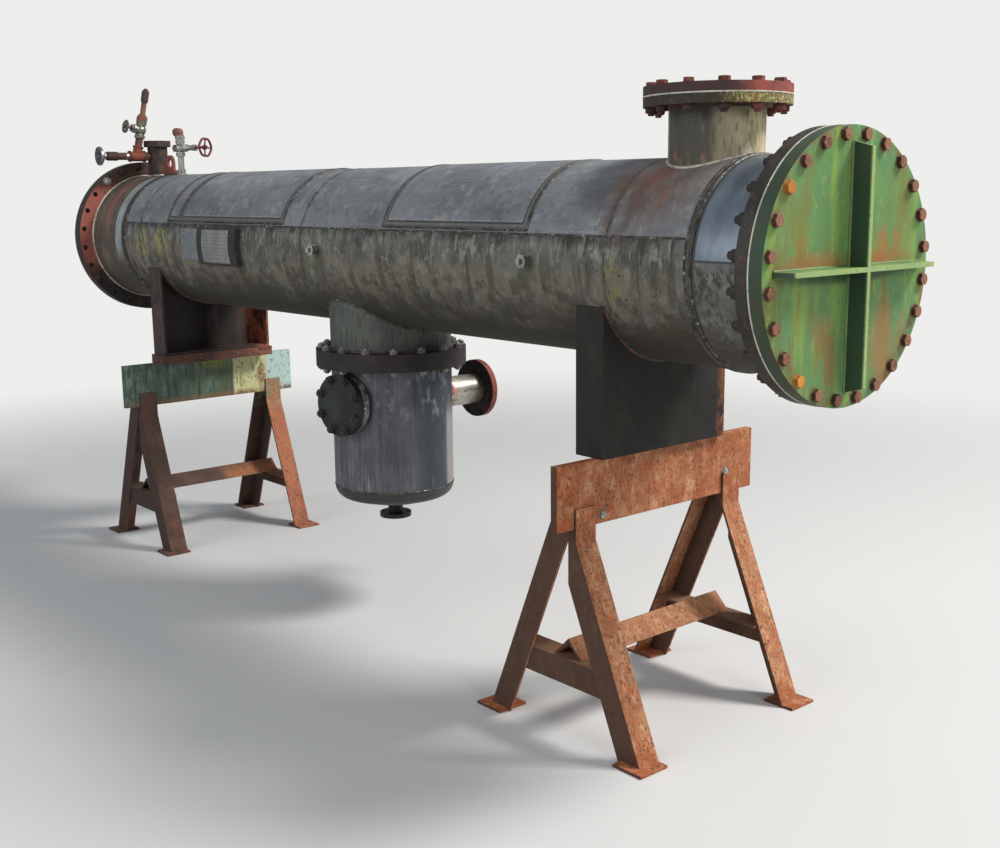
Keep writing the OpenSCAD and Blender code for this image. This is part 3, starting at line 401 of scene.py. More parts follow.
# The far trestle: brown scale, kept on the legs in shade as painted shade; orange rust on the lit front
# +Y leg, bounded by where the light fell, so partly painted light; a trace of pale paint
trestleBrown = finish("rustedAngleIronBrown", "#5f463b", "#493630", [
    coat("#b0714c", 0.92, ("band", "y", 0.02, 0.09), ("band", "x", -1.47, -1.4),
        ("noise", (30, 30, 16), 0.2, 0.5, 6)),
    coat("#a35f50", 0.6, ("band", "y", 0.1, 0.3), ("band", "x", -1.47, -1.4),
        ("noise", (22, 22, 10), 0.46, 0.62, 6)),
    coat("#8a8f72", 0.7, ("band", "y", 0.14, 0.2), ("band", "z", 0.5, 0.6),
        ("noise", (30, 30, 20), 0.36, 0.6, 5)),
    coat("#7c4630", 0.55, ("band", "z", 0.2, 0.04), ("noise", (24, 24, 14), 0.42, 0.62, 5)),
    coat("#2b2422", 0.8, ("noise", (120, 120, 80), 0.56, 0.64, 5)),
    coat("#2a2220", 0.7, ("noise", (300, 300, 220), 0.6, 0.66, 3), rough=0.92),
    shadeTop, shadeSide, shadeEnd], rough=0.88, metal=0.05, grain=(380, 0.4))
# Far beam: old green machine paint, dark green on -Y as painted shade, cream from y 0.11 as painted
# sunlight, both partly the paint's own tone and lichen; pale blue-white end, rust creeping from its foot
beamPaint = finish("oldGreenMachinePaintOnBeam", "#5d7567", "#43594c", [
    coat("#889286", 0.7, ("band", "y", -0.22, -0.34), ("noise", (40, 40, 22), 0.46, 0.62, 6)),
    coat("#4c5432", 0.8, ("band", "y", -0.12, -0.02), ("noise", (14, 14, 8), 0.32, 0.6, 6)),
    coat("#2b3830", 0.85, ("noise", (20, 70, 8), 0.52, 0.62, 6)),
    coat("#83843c", 0.85, ("blob", (-1.4, 0.02, 0.79), (0.2, 0.12, 0.06)),
        ("noise", 40, 0.36, 0.56, 6)),
    coat("#c3c393", 0.95, ("band", "y", 0.105, 0.117)),
    coat("#8c8a4c", 0.75, ("band", "y", 0.11, 0.12), ("noise", (70, 70, 9), 0.54, 0.64, 6),
        ("band", "y", 0.3, 0.28)),
    coat("#aecbca", 0.9, ("band", "y", 0.27, 0.3), ("noise", 30, 0.25, 0.4, 5)),
    coat("#7d5a3c", 0.9, ("blob", (-1.4, 0.255, 0.7), (0.3, 0.035, 0.08)),
        ("noise", (60, 60, 40), 0.34, 0.54, 5)),
    coat("#7a5634", 0.9, ("band", "z", 0.65, 0.624), ("noise", (40, 40, 60), 0.34, 0.55, 5)),
    coat("#3f3a2c", 0.8, ("noise", (95, 95, 60), 0.57, 0.63, 5)),
    # painted shade: darker green on faces turned to -Y
    coat("#2f3a33", 0.5, ("band", "faceY", -0.3, -0.8)),
], rough=0.6, grain=(380, 0.25))
# Dark olive-brown plate made near black as painted shade, with hardly a highlight; orange rust at its +Y
# end, partly painted sunlight; pale grey on its upward faces above z 1.05
saddleDark = finish("saddlePlateNearBlackPaintedShade", "#1a1915", "#131310", [
    coat("#9c5a3a", 0.85, ("band", "y", 0.21, 0.25), ("noise", (40, 40, 24), 0.36, 0.58, 5)),
    coat("#2b281c", 0.6, ("noise", (12, 12, 6), 0.48, 0.66, 6)),
    coat("#33261e", 0.5, ("noise", (60, 60, 40), 0.54, 0.66, 6)),
    coat("#8f8a7e", 0.8, ("band", "faceZ", 0.6, 0.9), ("band", "z", 1, 1.05))])
# Rolled plate under maroon rust, dull; orange at its +Y end, partly rust and partly painted sunlight,
# and near black on its +X faces short of that end as painted shadow
saddleMaroon = finish("rustedSaddlePlateMaroon", "#4a3a35", "#352b29", [
    coat("#a55a3c", 0.9, ("band", "y", 0.17, 0.23), ("noise", (40, 40, 24), 0.32, 0.54, 5)),
    coat("#201d1c", 0.8, ("band", "faceX", 0.5, 0.9), ("band", "y", 0.19, 0.12)),
    coat("#241f1e", 0.8, ("noise", (26, 26, 14), 0.5, 0.64, 5))])
# Packed layers: thin dark lines at an even pitch, dusty and without gloss
packingWood = finish("rustStainedPackingLayers", "#5f3a33", "#4a302b", [
    coat("#9a5f50", 0.8, ("band", "y", 0.1, 0.2), ("noise", (30, 30, 90), 0.34, 0.55, 5)),
    coat("#2a1d1b", 0.85, ("comb", "z", 0.011, 0.0016, 0.0004)),
    coat("#8c5c4a", 0.5, ("noise", (60, 60, 200), 0.52, 0.64, 5))], rough=0.9)
# Forged steel with oil in its scale: a low gloss broken by rust
flangeDark = finish("forgedFlangeOiledBlack", "#393530", "#2b2825", [
    coat("#55392c", 0.55, ("noise", 40, 0.53, 0.66, 6)),
    coat("#6f675c", 0.35, ("noise", 90, 0.58, 0.68, 5))], rough=0.6, metal=0.25)
# Forged scale with a maroon cast, a little glossier than the shell above it
flangeMaroon = finish("forgedFlangeMaroonScale", "#2a2223", "#1f1b1c", [
    coat("#452b29", 0.65, ("noise", (34, 34, 60), 0.5, 0.66, 6)),
    coat("#544a47", 0.3, ("noise", 120, 0.58, 0.66, 4))],
    rough=0.55, metal=0.25)
# Turned edge gone dull: grey with brighter worn flecks, grimed underneath
sheetGrey = finish("turnedTubeSheetEdgeDull", "#4a4946", "#393835", [
    coat("#7b7a75", 0.5, ("noise", 70, 0.52, 0.66, 5)),
    coat("#302c26", 0.8, ("band", "z", axisZ - 0.05, axisZ - 0.2))], rough=0.6, metal=0.3)
# Red primer brushed on the ring that faces the camera, flat and chalky on bare dark steel; below the
# axis the primer stops and the dark steel there is partly grime and partly painted shade
primer = finish("brushedRedPrimerOnFlange", "#2f2a26", "#282320", [
    coat("#5a3b2e", 0.8, ("band", "z", axisZ + 0.12, axisZ + 0.22), ("noise", 20, 0.3, 0.6, 6)),
    coat("#985349", 0.95, ("band", "z", axisZ - 0.17, axisZ - 0.08),
        ("band", "z", axisZ + 0.27, axisZ + 0.19), ("ring", (0, 0, axisZ), (0, 1, 1), 0.345, 0.338),
        ("band", "faceX", 0.5, 0.8)),
    coat("#7b4139", 0.6, ("noise", 26, 0.52, 0.66, 6)),
    coat("#2e2421", 0.85, ("noise", 70, 0.58, 0.66, 6)),
    coat("#2b2523", 0.85, ("band", "faceX", 0.7, 0.4))], rough=0.7)
# Old beige paint: pale beige low on its +Y side as a painted sunlit patch, near black on its -Y side
# as painted shade
nozzleBeige = finish("weatheredNozzlePaintBeige", "#9b937c", "#857d67", [
    coat("#cfc196", 0.85, ("band", "y", -0.09, 0.02), ("band", "z", 1.78, 1.71),
        ("noise", (24, 24, 8), 0.25, 0.55, 5)),
    coat("#d6d2c2", 0.6, ("band", "z", 1.7, 1.64), ("band", "y", -0.08, 0),
        ("noise", (60, 60, 30), 0.48, 0.6, 6)),
    coat("#3f3e38", 0.93, ("band", "y", -0.092, -0.114), ("noise", (40, 40, 9), 0.1, 0.45, 6)),
    coat("#5d594a", 0.75, ("band", "z", 1.725, 1.775)),
    coat("#98705c", 0.6, ("band", "z", 1.64, 1.6), ("noise", (40, 40, 20), 0.44, 0.6, 5)),
    coat("#54503f", 0.7, ("noise", (95, 95, 24), 0.55, 0.65, 5))], rough=0.7)
# Plate washed grey-green, lighter along its -X side as painted light, with fine upright runs
neckGrey = finish("weatheredNeckPlateGreyGreen", "#565a53", "#484c46", [
    coat("#85857a", 0.7, ("band", "x", drumX - 0.06, drumX - 0.18),
        ("noise", (36, 36, 24), 0.36, 0.6, 6)),
    coat("#33342f", 0.75, ("noise", (90, 90, 14), 0.52, 0.64, 5))], rough=0.65)
# Lichen on a forged rim: tufts and pale dots, as rough and matt as bark; near black on its -Y side and
# dark brown underneath as painted shade
flangeLichen = finish("lichenOnForgedRim", "#6d6538", "#5c5230", [
    coat("#a8a35c", 0.85, ("noise", (150, 150, 90), 0.48, 0.58, 6)),
    coat("#d2cfa4", 0.8, ("noise", (260, 260, 160), 0.58, 0.63, 4)),
    coat("#7a4a38", 0.7, ("noise", 60, 0.54, 0.62, 5)),
    coat("#2e2724", 0.96, ("band", "y", -0.1, -0.16), ("noise", (110, 110, 60), 0.15, 0.45, 5)),
    coat("#54352b", 0.9, ("band", "faceZ", -0.4, -0.8))])
# Even red rust on a turned blind, flecked pale, darker on the shaded side
blindRust = finish("rustedBlindRed", "#94483f", "#7c3c36", [
    coat("#a85e4c", 0.5, ("noise", 50, 0.54, 0.66, 6)),
    coat("#4e2d28", 0.6, ("noise", 36, 0.52, 0.64, 6)),
    coat("#b9ada0", 0.35, ("noise", (120, 120, 50), 0.62, 0.68, 4)),
    coat("#3a2c2b", 0.95, ("band", "y", -0.06, -0.14), ("noise", 30, 0.1, 0.42, 5)),
    coat("#4a3430", 0.85, ("band", "faceZ", 0.5, 0.8))])
# Drum: slate sheet with fine upright drips, a warm flush where the sun falls, dark head below
drumPlate = finish("rolledDrumPlateDripStained", "#5f6067", "#525359", [
    coat("#404247", 0.5, ("noise", (100, 100, 5), 0.52, 0.64, 6)),
    coat("#77787d", 0.55, ("noise", (50, 50, 5), 0.5, 0.66, 6)),
    coat("#333d47", 0.85, ("band", "y", -0.08, 0.01), ("noise", (16, 16, 3), 0.2, 0.52, 6)),
    coat("#8b9299", 0.6, ("noise", (30, 30, 18), 0.52, 0.66, 6), ("band", "z", 0.66, 0.78)),
    coat("#4d423f", 0.75, ("blob", (drumX + 0.2, -0.055, 0.84), (0.2, 0.022, 0.09)),
        ("noise", (60, 60, 8), 0.3, 0.55, 5)),
    coat("#aaa29e", 0.8, ("band", "y", 0.084, 0.104), ("band", "z", 0.8, 0.7),
        ("band", "x", drumX + 0.02, drumX + 0.1), ("noise", (60, 60, 8), 0.2, 0.5, 5)),
    coat("#93928c", 0.7, ("noise", (150, 150, 7), 0.57, 0.64, 5), ("band", "y", -0.14, -0.19),
        ("band", "z", 0.66, 0.58)),
    coat("#2f3030", 0.9, ("stripe", "z", 0.474, 0.006, 0.003)),
    coat("#3f4340", 0.88, ("band", "z", 0.476, 0.468)),
    coat("#2b2c28", 0.85, ("band", "z", 0.46, 0.41))],
    rough=0.48, metal=0.35, grain=(500, 0.14))
# Drawn tube: hardly any grain, so it mirrors, with rust creeping in from the flange
brightPipe = finish("drawnStainlessPipeBright", "#b9b5ab", "#98948a", [
    coat("#a8562f", 0.85, ("band", "y", 0.285, 0.235), ("noise", 40, 0.34, 0.6, 5), metal=0, rough=0.8),
    coat("#5d5148", 0.6, ("noise", (60, 30, 60), 0.52, 0.64, 5))],
    rough=0.34, metal=0.8, grain=(900, 0.05))
# Orange rust in a ring on a dark forged flange
rimRust = finish("rustedFlangeRimOrange", "#2b2423", "#221d1d", [
    coat("#b0583c", 0.95, ("ring", (drumX, 0, 0.777), (1, 0, 1), 0.108, 0.112),
        ("band", "faceY", -0.5, -0.3), ("noise", 50, 0.28, 0.5, 5)),
    coat("#7a4536", 0.5, ("noise", 50, 0.56, 0.66, 5))])
# Turned stainless: fine bright lines round it, oil dried in patches
frontNeck = finish("turnedStainlessNeckFlange", "#8f8d88", "#74726d", [
    coat("#403d39", 0.8, ("noise", 60, 0.48, 0.62, 5)),
    coat("#d2d0c8", 0.7, ("noise", (20, 20, 120), 0.56, 0.66, 3))],
    rough=0.36, metal=0.7, grain=(900, 0.06))
# Black paint with a dull film, worn brown at the bolts and paler in the middle
blindBlack = finish("paintedBlindBlack", "#171919", "#121313", [
    coat("#272c2b", 0.9, ("blob", (drumX, -0.263, 0.79), (0.075, 0.5, 0.075))),
    coat("#3d2a29", 0.7, ("blob", (drumX - 0.08, -0.263, 0.86), (0.1, 0.5, 0.09)),
        ("noise", 50, 0.36, 0.6, 5)),
    coat("#463029", 0.5, ("noise", 60, 0.56, 0.66, 5))], rough=0.5)
# Pressed fibre: no gloss, the palest line on the whole object
gasketWhite = finish("pressedFibreGasket", "#cfcdc2", "#b3b1a4", [
    coat("#7e7a6a", 0.6, ("noise", 90, 0.52, 0.64, 5))], rough=0.9, metal=0.0)
# Scaled pipe: near black, with the common rust over it
ventDark = finish("scaledVentPipeDark", "#37302f", "#2a2525")
# Folded strip, blackened: dark, with rust at its worn places
bracketDark = finish("foldedBracketBlackened", "#2f2e2b", "#252422", [
    coat("#57493c", 0.6, ("noise", 60, 0.54, 0.66, 5))], rough=0.7)
# Bare plates: light metal, engraved rules only, edges grimed
plateBare = finish("etchedAlloyPlateBare", "#929490", "#81837f", [
    coat("#5f6260", 0.75, ("comb", "round", 0.0125, 0.0011, 0.0005),
        ("rim", "rolled", (-0.7165, -0.445, 0), (0.095, 0.047, 9), 0, -0.001)),
    coat("#75786f", 0.5, ("noise", 40, 0.5, 0.64, 5)),
    coat("#5f6058", 0.7, ("rim", "rolled", (-0.7165, -0.445, 0), (0.1065, 0.0585, 9), -0.006, 0),
        ("noise", 90, 0.36, 0.56, 4))],
    rough=0.42, metal=0.45, grain=(700, 0.08))
# Sheared sheet: a thin blue-grey bloom, its lower edge in shade
blankGrey = finish("shearedSheetBlueGrey", "#7d8388", "#70767b", [
    coat("#4d5052", 0.75, ("band", "round", -0.502, -0.51)),
    coat("#5d6063", 0.5, ("noise", 50, 0.5, 0.64, 5))],
    rough=0.5, metal=0.35, grain=(700, 0.08))
# Screwed pipe: maroon rust, brightest orange on the tee, worn silver on its nipples
pipeRust = finish("screwedPipeMaroonRust", "#5b3a35", "#48302c", [
    coat("#864031", 0.88, ("blob", (ventX, -0.104, 1.708), (0.1, 0.046, 0.06)),
        ("noise", 90, 0.2, 0.5, 5), rough=0.85),
    coat("#a8a59a", 0.9, ("stripe", "y", -0.1485, 0.0085, 0.006), ("noise", 160, 0.24, 0.45, 4),
        rough=0.32, metal=0.85),
    coat("#b9a468", 0.85, ("stripe", "y", -0.0622, 0.0022, 0.0016), rough=0.32, metal=0.85),
    coat("#332725", 0.8, ("stripe", "y", -0.221, 0.024, 0.022)),
    coat("#2c2321", 0.65, ("noise", 120, 0.54, 0.65, 5))])
# Cast bronze: dull tarnish, worn silver on the body and red scale at its foot
valveBronze = finish("castBronzeValveTarnished", "#77756a", "#5f5d54", [
    coat("#7c4436", 0.9, ("band", "z", 1.852, 1.858), ("noise", 90, 0.2, 0.5, 5), rough=0.85, metal=0),
    coat("#2e2a28", 0.85, ("band", "z", 1.925, 1.935), rough=0.7, metal=0.1),
    coat("#b5b7ad", 0.6, ("noise", 50, 0.5, 0.62, 4), ("band", "z", 1.852, 1.848), rough=0.3,
        metal=0.85),
    coat("#3c3a34", 0.7, ("noise", 130, 0.55, 0.65, 5))],
    rough=0.45, metal=0.6)
# Galvanised pipe: pale spangles about 4 mm across, dusty between
pipeZinc = finish("galvanisedPipeSpangled", "#a9a9a1", "#908f86", [
    coat("#c3c4bd", 0.6, ("spots", 240, 0.4, 0.1)),
    coat("#6f6552", 0.6, ("noise", (60, 60, 40), 0.52, 0.65, 5))],
    rough=0.42, metal=0.6, grain=(600, 0.1))
# Cast valve, bright as new, with red primer on its cap and its outlet
valveNickel = finish("castValveBrightNickel", "#b4b6b0", "#9a9c96", [
    coat("#7a4a3a", 0.92, ("band", "z", 1.775, 1.785), ("noise", 90, 0.2, 0.45, 5), rough=0.8, metal=0),
    coat("#6d4a38", 0.92, ("band", "x", -1.584, -1.59), rough=0.8, metal=0),
    coat("#4f4a42", 0.6, ("noise", 110, 0.54, 0.65, 5))],
    rough=0.32, metal=0.8)
# Forged coupling: bright worn edges round a dark socket
couplingSteel = finish("forgedCouplingWorn", "#c6c5bf", "#96948c", [
    coat("#4c4a36", 0.7, ("noise", 80, 0.54, 0.66, 5)),
    coat("#2f2d27", 0.8, ("band", "faceX", 0.3, 0.8))], rough=0.42, metal=0.5)
# Brushed primer with rust coming through, flat
lugPrimer = finish("brushedRedPrimerOnLug", "#95524a", "#7c423b")
# Pressed steel: smooth and bright, soot in patches
dialCase = finish("pressedSteelDialCase", "#a3a6a6", "#7f8283", [
    coat("#3e4143", 0.8, ("noise", 80, 0.5, 0.62, 4))], rough=0.3, metal=0.8)
print("finishes made")

finishOf = dict(shell=shellPlate, near_channel=channelPlate, far_channel=farPlate,
    near_tube_sheet=sheetGrey, doubler_plates=padPlate, near_cover=coverPaint, cover_ribs=ribPaint,
    near_body_flange=flangeDark, near_gasket=gasketWhite, far_tube_sheet=flangeDark,
    far_body_flange=primer, far_cover=flangeDark, top_nozzle_neck=nozzleBeige,
    top_nozzle_flange=flangeLichen, top_nozzle_blind=blindRust, top_nozzle_gasket=gasketWhite,
    hotwell_neck=neckGrey, hotwell_upper_flange=flangeMaroon, hotwell_lower_flange=flangeMaroon,
    hotwell_drum=drumPlate, rear_nozzle_pipe=brightPipe, rear_nozzle_flange=rimRust,
    front_nozzle_neck=frontNeck, front_nozzle_blind=blindBlack, drain_nozzle=blindBlack,
    near_saddle=saddleDark, far_saddle=saddleMaroon, far_packing=packingWood, far_trestle_beam=beamPaint,
    data_plate=plateBare, blank_plate=blankGrey, plate_bracket=bracketDark, vent_neck=ventDark,
    lifting_lug=lugPrimer, dial_gauge=dialCase, gauge_branch=pipeRust, gauge_valve=valveBronze,
    vent_riser=pipeZinc, vent_valve=valveNickel, side_couplings=couplingSteel)
for name, piece in nodes.items():
    piece.data.materials.clear()
    piece.data.materials.append(finishOf.get(name) or (
        trestleRust if name.startswith("near_trestle") else trestleBrown))
print("finishes assigned")


# Trees for what repeats: one each for what is bolted, welded and turned by hand
def newTree(name, **sizes):
    # each size is a named input, and a whole number makes a whole-number input
    tree = bpy.data.node_groups.new(name, "GeometryNodeTree")
    tree.interface.new_socket("Geometry", in_out="OUTPUT", socket_type="NodeSocketGeometry")
    tree.interface.new_socket("Geometry", in_out="INPUT", socket_type="NodeSocketGeometry")
    for label, value in sizes.items():
        kind = "NodeSocketInt" if isinstance(value, int) else "NodeSocketFloat"
        tree.interface.new_socket(label, in_out="INPUT", socket_type=kind).default_value = value
    tree.interface.new_socket("look", in_out="INPUT", socket_type="NodeSocketMaterial")
    return tree, add(tree, "NodeGroupInput").outputs


def closeTree(tree, given, part):
    solid = add(tree, "GeometryNodeRealizeInstances", {0: part})
    coated = add(tree, "GeometryNodeSetMaterial", {"Geometry": solid, "Material": given["look"]})
    add(tree, "NodeGroupOutput", {0: coated})
    return tree


def seedMesh(name, rows):
    # a row is a place and the way it faces, or a path and whether it closes
    mesh = bpy.data.meshes.new(name + "Seed")
    if isinstance(rows[0][1], bool):
        points = []
        edges = []
        for path, closed in rows:
            first = len(points)
            points += path
            edges += [(i, i + 1) for i in range(first, len(points) - 1)]
            if closed:
                edges.append((len(points) - 1, first))
        mesh.from_pydata(points, edges, [])
        return mesh
    mesh.from_pydata([row[0] for row in rows], [], [])
    facing = mesh.attributes.new("facing", "FLOAT_VECTOR", "POINT")
    for item, row in zip(facing.data, rows):
        item.vector = row[1]
    return mesh


def grow(name, rows, tree, sizes, look, body="root", replaced=()):
    # runs a tree on a seed mesh and keeps the result as the piece's own mesh
    piece = bpy.data.objects.new(name, seedMesh(name, rows))
    scene.collection.objects.link(piece)
    modifier = piece.modifiers.new("grow", "NODES")
    modifier.node_group = tree
    values = dict(sizes, look=look)
    for item in tree.interface.items_tree:
        if item.item_type == "SOCKET" and item.in_out == "INPUT" and item.name in values:
            modifier[item.identifier] = values[item.name]
    graph = bpy.context.evaluated_depsgraph_get()
    made = bpy.data.meshes.new_from_object(piece.evaluated_get(graph), depsgraph=graph)
    piece.modifiers.clear()
    piece.data = made
    made.name = name
    if not made.materials:
        made.materials.append(look)
    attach(piece, body)
    if replaced:
        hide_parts(*replaced)


def turned(tree, given):
    # an instance's turn: its Z along "facing", then a random spin
    facing = add(tree, "GeometryNodeInputNamedAttribute", {"Name": "facing"}, data_type="FLOAT_VECTOR")
    upright = add(tree, "FunctionNodeAlignRotationToVector", {"Vector": facing}, axis="Z")
    spin = add(tree, "FunctionNodeRandomValue", {2: 0.0, 3: 6.283, "Seed": given["seed"]},
        data_type="FLOAT")
    about = add(tree, "FunctionNodeAxisAngleToRotation", {"Axis": (0, 0, 1), "Angle": spin.outputs[1]})
    both = add(tree, "FunctionNodeRotateRotation", {"Rotation": upright, "Rotate By": about},
        rotation_space="LOCAL")
    return both.outputs[0]


def lifted(tree, part, height):
    # a part moved along its own axis
    move = add(tree, "ShaderNodeCombineXYZ", {2: height})
    return add(tree, "GeometryNodeTransform", {"Geometry": part, "Translation": move})


def fastenerTree():
    tree, given = newTree("hexFastener", flats=0.03, head=0.013, washer=0.003, stud=0.02, out=0.004,
        shank=0.002, vary=0.04, seed=1)
    flats = given["flats"]
    head = given["head"]
    # hexagon prism, its outer corners chamfered by a cone
    corner = add(tree, "ShaderNodeMath", {0: flats, 1: 0.57735}, operation="MULTIPLY")
    tip = add(tree, "ShaderNodeMath", {0: flats, 1: 0.475}, operation="MULTIPLY")
    slope = add(tree, "ShaderNodeMath", {0: head, 1: 1.9, 2: tip}, operation="MULTIPLY_ADD")
    half = add(tree, "ShaderNodeMath", {0: head, 1: 0.5}, operation="MULTIPLY")
    prism = add(tree, "GeometryNodeMeshCylinder", {"Vertices": 6, "Radius": corner, "Depth": head})
    raised = lifted(tree, prism, half)
    cone = add(tree, "GeometryNodeMeshCone", {"Vertices": 30, "Radius Top": tip, "Radius Bottom": slope,
        "Depth": head})
    hexagon = add(tree, "GeometryNodeMeshBoolean", {"Mesh 2": [raised, cone]}, operation="INTERSECT",
        solver="EXACT")
    seated = lifted(tree, hexagon, given["washer"])
    # round washer
    wide = add(tree, "ShaderNodeMath", {0: flats, 1: 0.61}, operation="MULTIPLY")
    thin = add(tree, "ShaderNodeMath", {0: given["washer"], 1: 0.5}, operation="MULTIPLY")
    disc = add(tree, "GeometryNodeMeshCylinder", {"Vertices": 28, "Radius": wide,
        "Depth": given["washer"]})
    washer = lifted(tree, disc, thin)
    # stud from the shank's end to a chamfered tip
    reach = add(tree, "ShaderNodeMath", {0: given["washer"], 1: head})
    reach = add(tree, "ShaderNodeMath", {0: reach, 1: given["out"]})
    span = add(tree, "ShaderNodeMath", {0: reach, 1: given["shank"]})
    low = add(tree, "ShaderNodeMath", {0: given["shank"], 1: -1.0}, operation="MULTIPLY")
    mid = add(tree, "ShaderNodeMath", {0: span, 1: 0.5, 2: low}, operation="MULTIPLY_ADD")
    thick = add(tree, "ShaderNodeMath", {0: given["stud"], 1: 0.5}, operation="MULTIPLY")
    narrow = add(tree, "ShaderNodeMath", {0: given["stud"], 1: 0.4}, operation="MULTIPLY")
    rod = add(tree, "GeometryNodeMeshCylinder", {"Vertices": 20, "Radius": thick, "Depth": span})
    rod = lifted(tree, rod, mid)
    nose = add(tree, "GeometryNodeMeshCone", {"Vertices": 20, "Radius Top": narrow,
        "Radius Bottom": thick, "Depth": 0.0018})
    nose = lifted(tree, nose, reach)
    whole = add(tree, "GeometryNodeJoinGeometry", {0: [seated, washer, rod, nose]})
    least = add(tree, "ShaderNodeMath", {0: 1.0, 1: given["vary"]}, operation="SUBTRACT")
    most = add(tree, "ShaderNodeMath", {0: 1.0, 1: given["vary"]})
    size = add(tree, "FunctionNodeRandomValue", {2: least, 3: most, "Seed": given["seed"]},
        data_type="FLOAT")
    spread = add(tree, "GeometryNodeInstanceOnPoints", {"Points": given["Geometry"], "Instance": whole,
        "Rotation": turned(tree, given), "Scale": size.outputs[1]})
    return closeTree(tree, given, spread)


def weldTree():
    tree, given = newTree("weldBead", radius=0.005, step=0.003, pitch=0.009, ripple=0.05, wander=0.06,
        seed=1)
    curve = add(tree, "GeometryNodeMeshToCurve", {0: given["Geometry"]})
    even = add(tree, "GeometryNodeResampleCurve", {0: curve, "Length": given["step"]}, mode="LENGTH")
    along = add(tree, "GeometryNodeSplineParameter")
    phase = add(tree, "ShaderNodeMath", {0: along.outputs["Length"], 1: given["pitch"]},
        operation="DIVIDE")
    phase = add(tree, "ShaderNodeMath", {0: phase, 1: 6.2832}, operation="MULTIPLY")
    wave = add(tree, "ShaderNodeMath", {0: phase}, operation="SINE")
    ripple = add(tree, "ShaderNodeMath", {0: wave, 1: given["ripple"], 2: 1.0},
        operation="MULTIPLY_ADD")
    place = add(tree, "GeometryNodeInputPosition")
    drift = add(tree, "ShaderNodeTexNoise", {"Vector": place, "W": given["seed"], "Scale": 45.0,
        "Detail": 2.0}, noise_dimensions="4D")
    lean = add(tree, "ShaderNodeMath", {0: drift, 1: 0.5}, operation="SUBTRACT")
    size = add(tree, "ShaderNodeMath", {0: lean, 1: given["wander"], 2: ripple},
        operation="MULTIPLY_ADD")
    profile = add(tree, "GeometryNodeCurvePrimitiveCircle", {"Resolution": 8,
        "Radius": given["radius"]})
    bead = add(tree, "GeometryNodeCurveToMesh", {0: even, 1: profile, "Scale": size,
        "Fill Caps": True})
    smooth = add(tree, "GeometryNodeSetShadeSmooth", {0: bead, "Shade Smooth": True})
    return closeTree(tree, given, smooth)


def wheelTree():
    tree, given = newTree("handwheel", radius=0.043, rim=0.0045, lobes=6, lobeDepth=0.0012, spokes=5,
        dish=0.006, hub=0.009, stem=0.005, stemLength=0.05, seed=1)
    # rim, its edge waved for grip
    ring = add(tree, "ShaderNodeMath", {0: given["radius"], 1: given["rim"]}, operation="SUBTRACT")
    loop = add(tree, "GeometryNodeCurvePrimitiveCircle", {"Resolution": 96, "Radius": ring})
    along = add(tree, "GeometryNodeSplineParameter")
    phase = add(tree, "ShaderNodeMath", {0: along.outputs["Factor"], 1: given["lobes"]},
        operation="MULTIPLY")
    phase = add(tree, "ShaderNodeMath", {0: phase, 1: 6.2832}, operation="MULTIPLY")
    wave = add(tree, "ShaderNodeMath", {0: phase}, operation="COSINE")
    depth = add(tree, "ShaderNodeMath", {0: wave, 1: given["lobeDepth"]}, operation="MULTIPLY")
    place = add(tree, "GeometryNodeInputPosition")
    out = add(tree, "ShaderNodeVectorMath", {0: place}, operation="NORMALIZE")
    push = add(tree, "ShaderNodeVectorMath", {0: out, "Scale": depth}, operation="SCALE")
    waved = add(tree, "GeometryNodeSetPosition", {0: loop, "Offset": push})
    bar = add(tree, "GeometryNodeCurvePrimitiveCircle", {"Resolution": 14, "Radius": given["rim"]})
    rim = add(tree, "GeometryNodeCurveToMesh", {0: waved, 1: bar})
    # spokes, dished from the hub out to the rim
    drop = add(tree, "ShaderNodeMath", {0: given["dish"], 1: -1.0}, operation="MULTIPLY")
    start = add(tree, "ShaderNodeCombineXYZ", {2: drop})
    end = add(tree, "ShaderNodeCombineXYZ", {0: ring})
    line = add(tree, "GeometryNodeCurvePrimitiveLine", {"Start": start, "End": end})
    thin = add(tree, "ShaderNodeMath", {0: given["rim"], 1: 0.68}, operation="MULTIPLY")
    rod = add(tree, "GeometryNodeCurvePrimitiveCircle", {"Resolution": 10, "Radius": thin})
    spoke = add(tree, "GeometryNodeCurveToMesh", {0: line, 1: rod, "Fill Caps": True})
    star = add(tree, "GeometryNodeMeshCircle", {"Vertices": given["spokes"], "Radius": 0.0001})
    aim = add(tree, "FunctionNodeAlignRotationToVector", {"Vector": place}, axis="X")
    spokes = add(tree, "GeometryNodeInstanceOnPoints", {"Points": star, "Instance": spoke,
        "Rotation": aim})
    # hub, its nut, and the stem down to the gland
    hub = add(tree, "GeometryNodeMeshCylinder", {"Vertices": 28, "Radius": given["hub"],
        "Depth": 0.014})
    hub = lifted(tree, hub, drop)
    nutR = add(tree, "ShaderNodeMath", {0: given["hub"], 1: 0.8}, operation="MULTIPLY")
    nut = add(tree, "GeometryNodeMeshCylinder", {"Vertices": 6, "Radius": nutR, "Depth": 0.014})
    nut = lifted(tree, nut, 0.002)
    back = add(tree, "ShaderNodeMath", {0: given["stemLength"], 1: -0.5}, operation="MULTIPLY")
    stem = add(tree, "GeometryNodeMeshCylinder", {"Vertices": 20, "Radius": given["stem"],
        "Depth": given["stemLength"]})
    stem = lifted(tree, stem, back)
    whole = add(tree, "GeometryNodeJoinGeometry", {0: [rim, spokes, hub, nut, stem]})
    placed = add(tree, "GeometryNodeInstanceOnPoints", {"Points": given["Geometry"], "Instance": whole,
        "Rotation": turned(tree, given)})
    return closeTree(tree, given, placed)


fastener = fastenerTree()
weld = weldTree()
wheel = wheelTree()

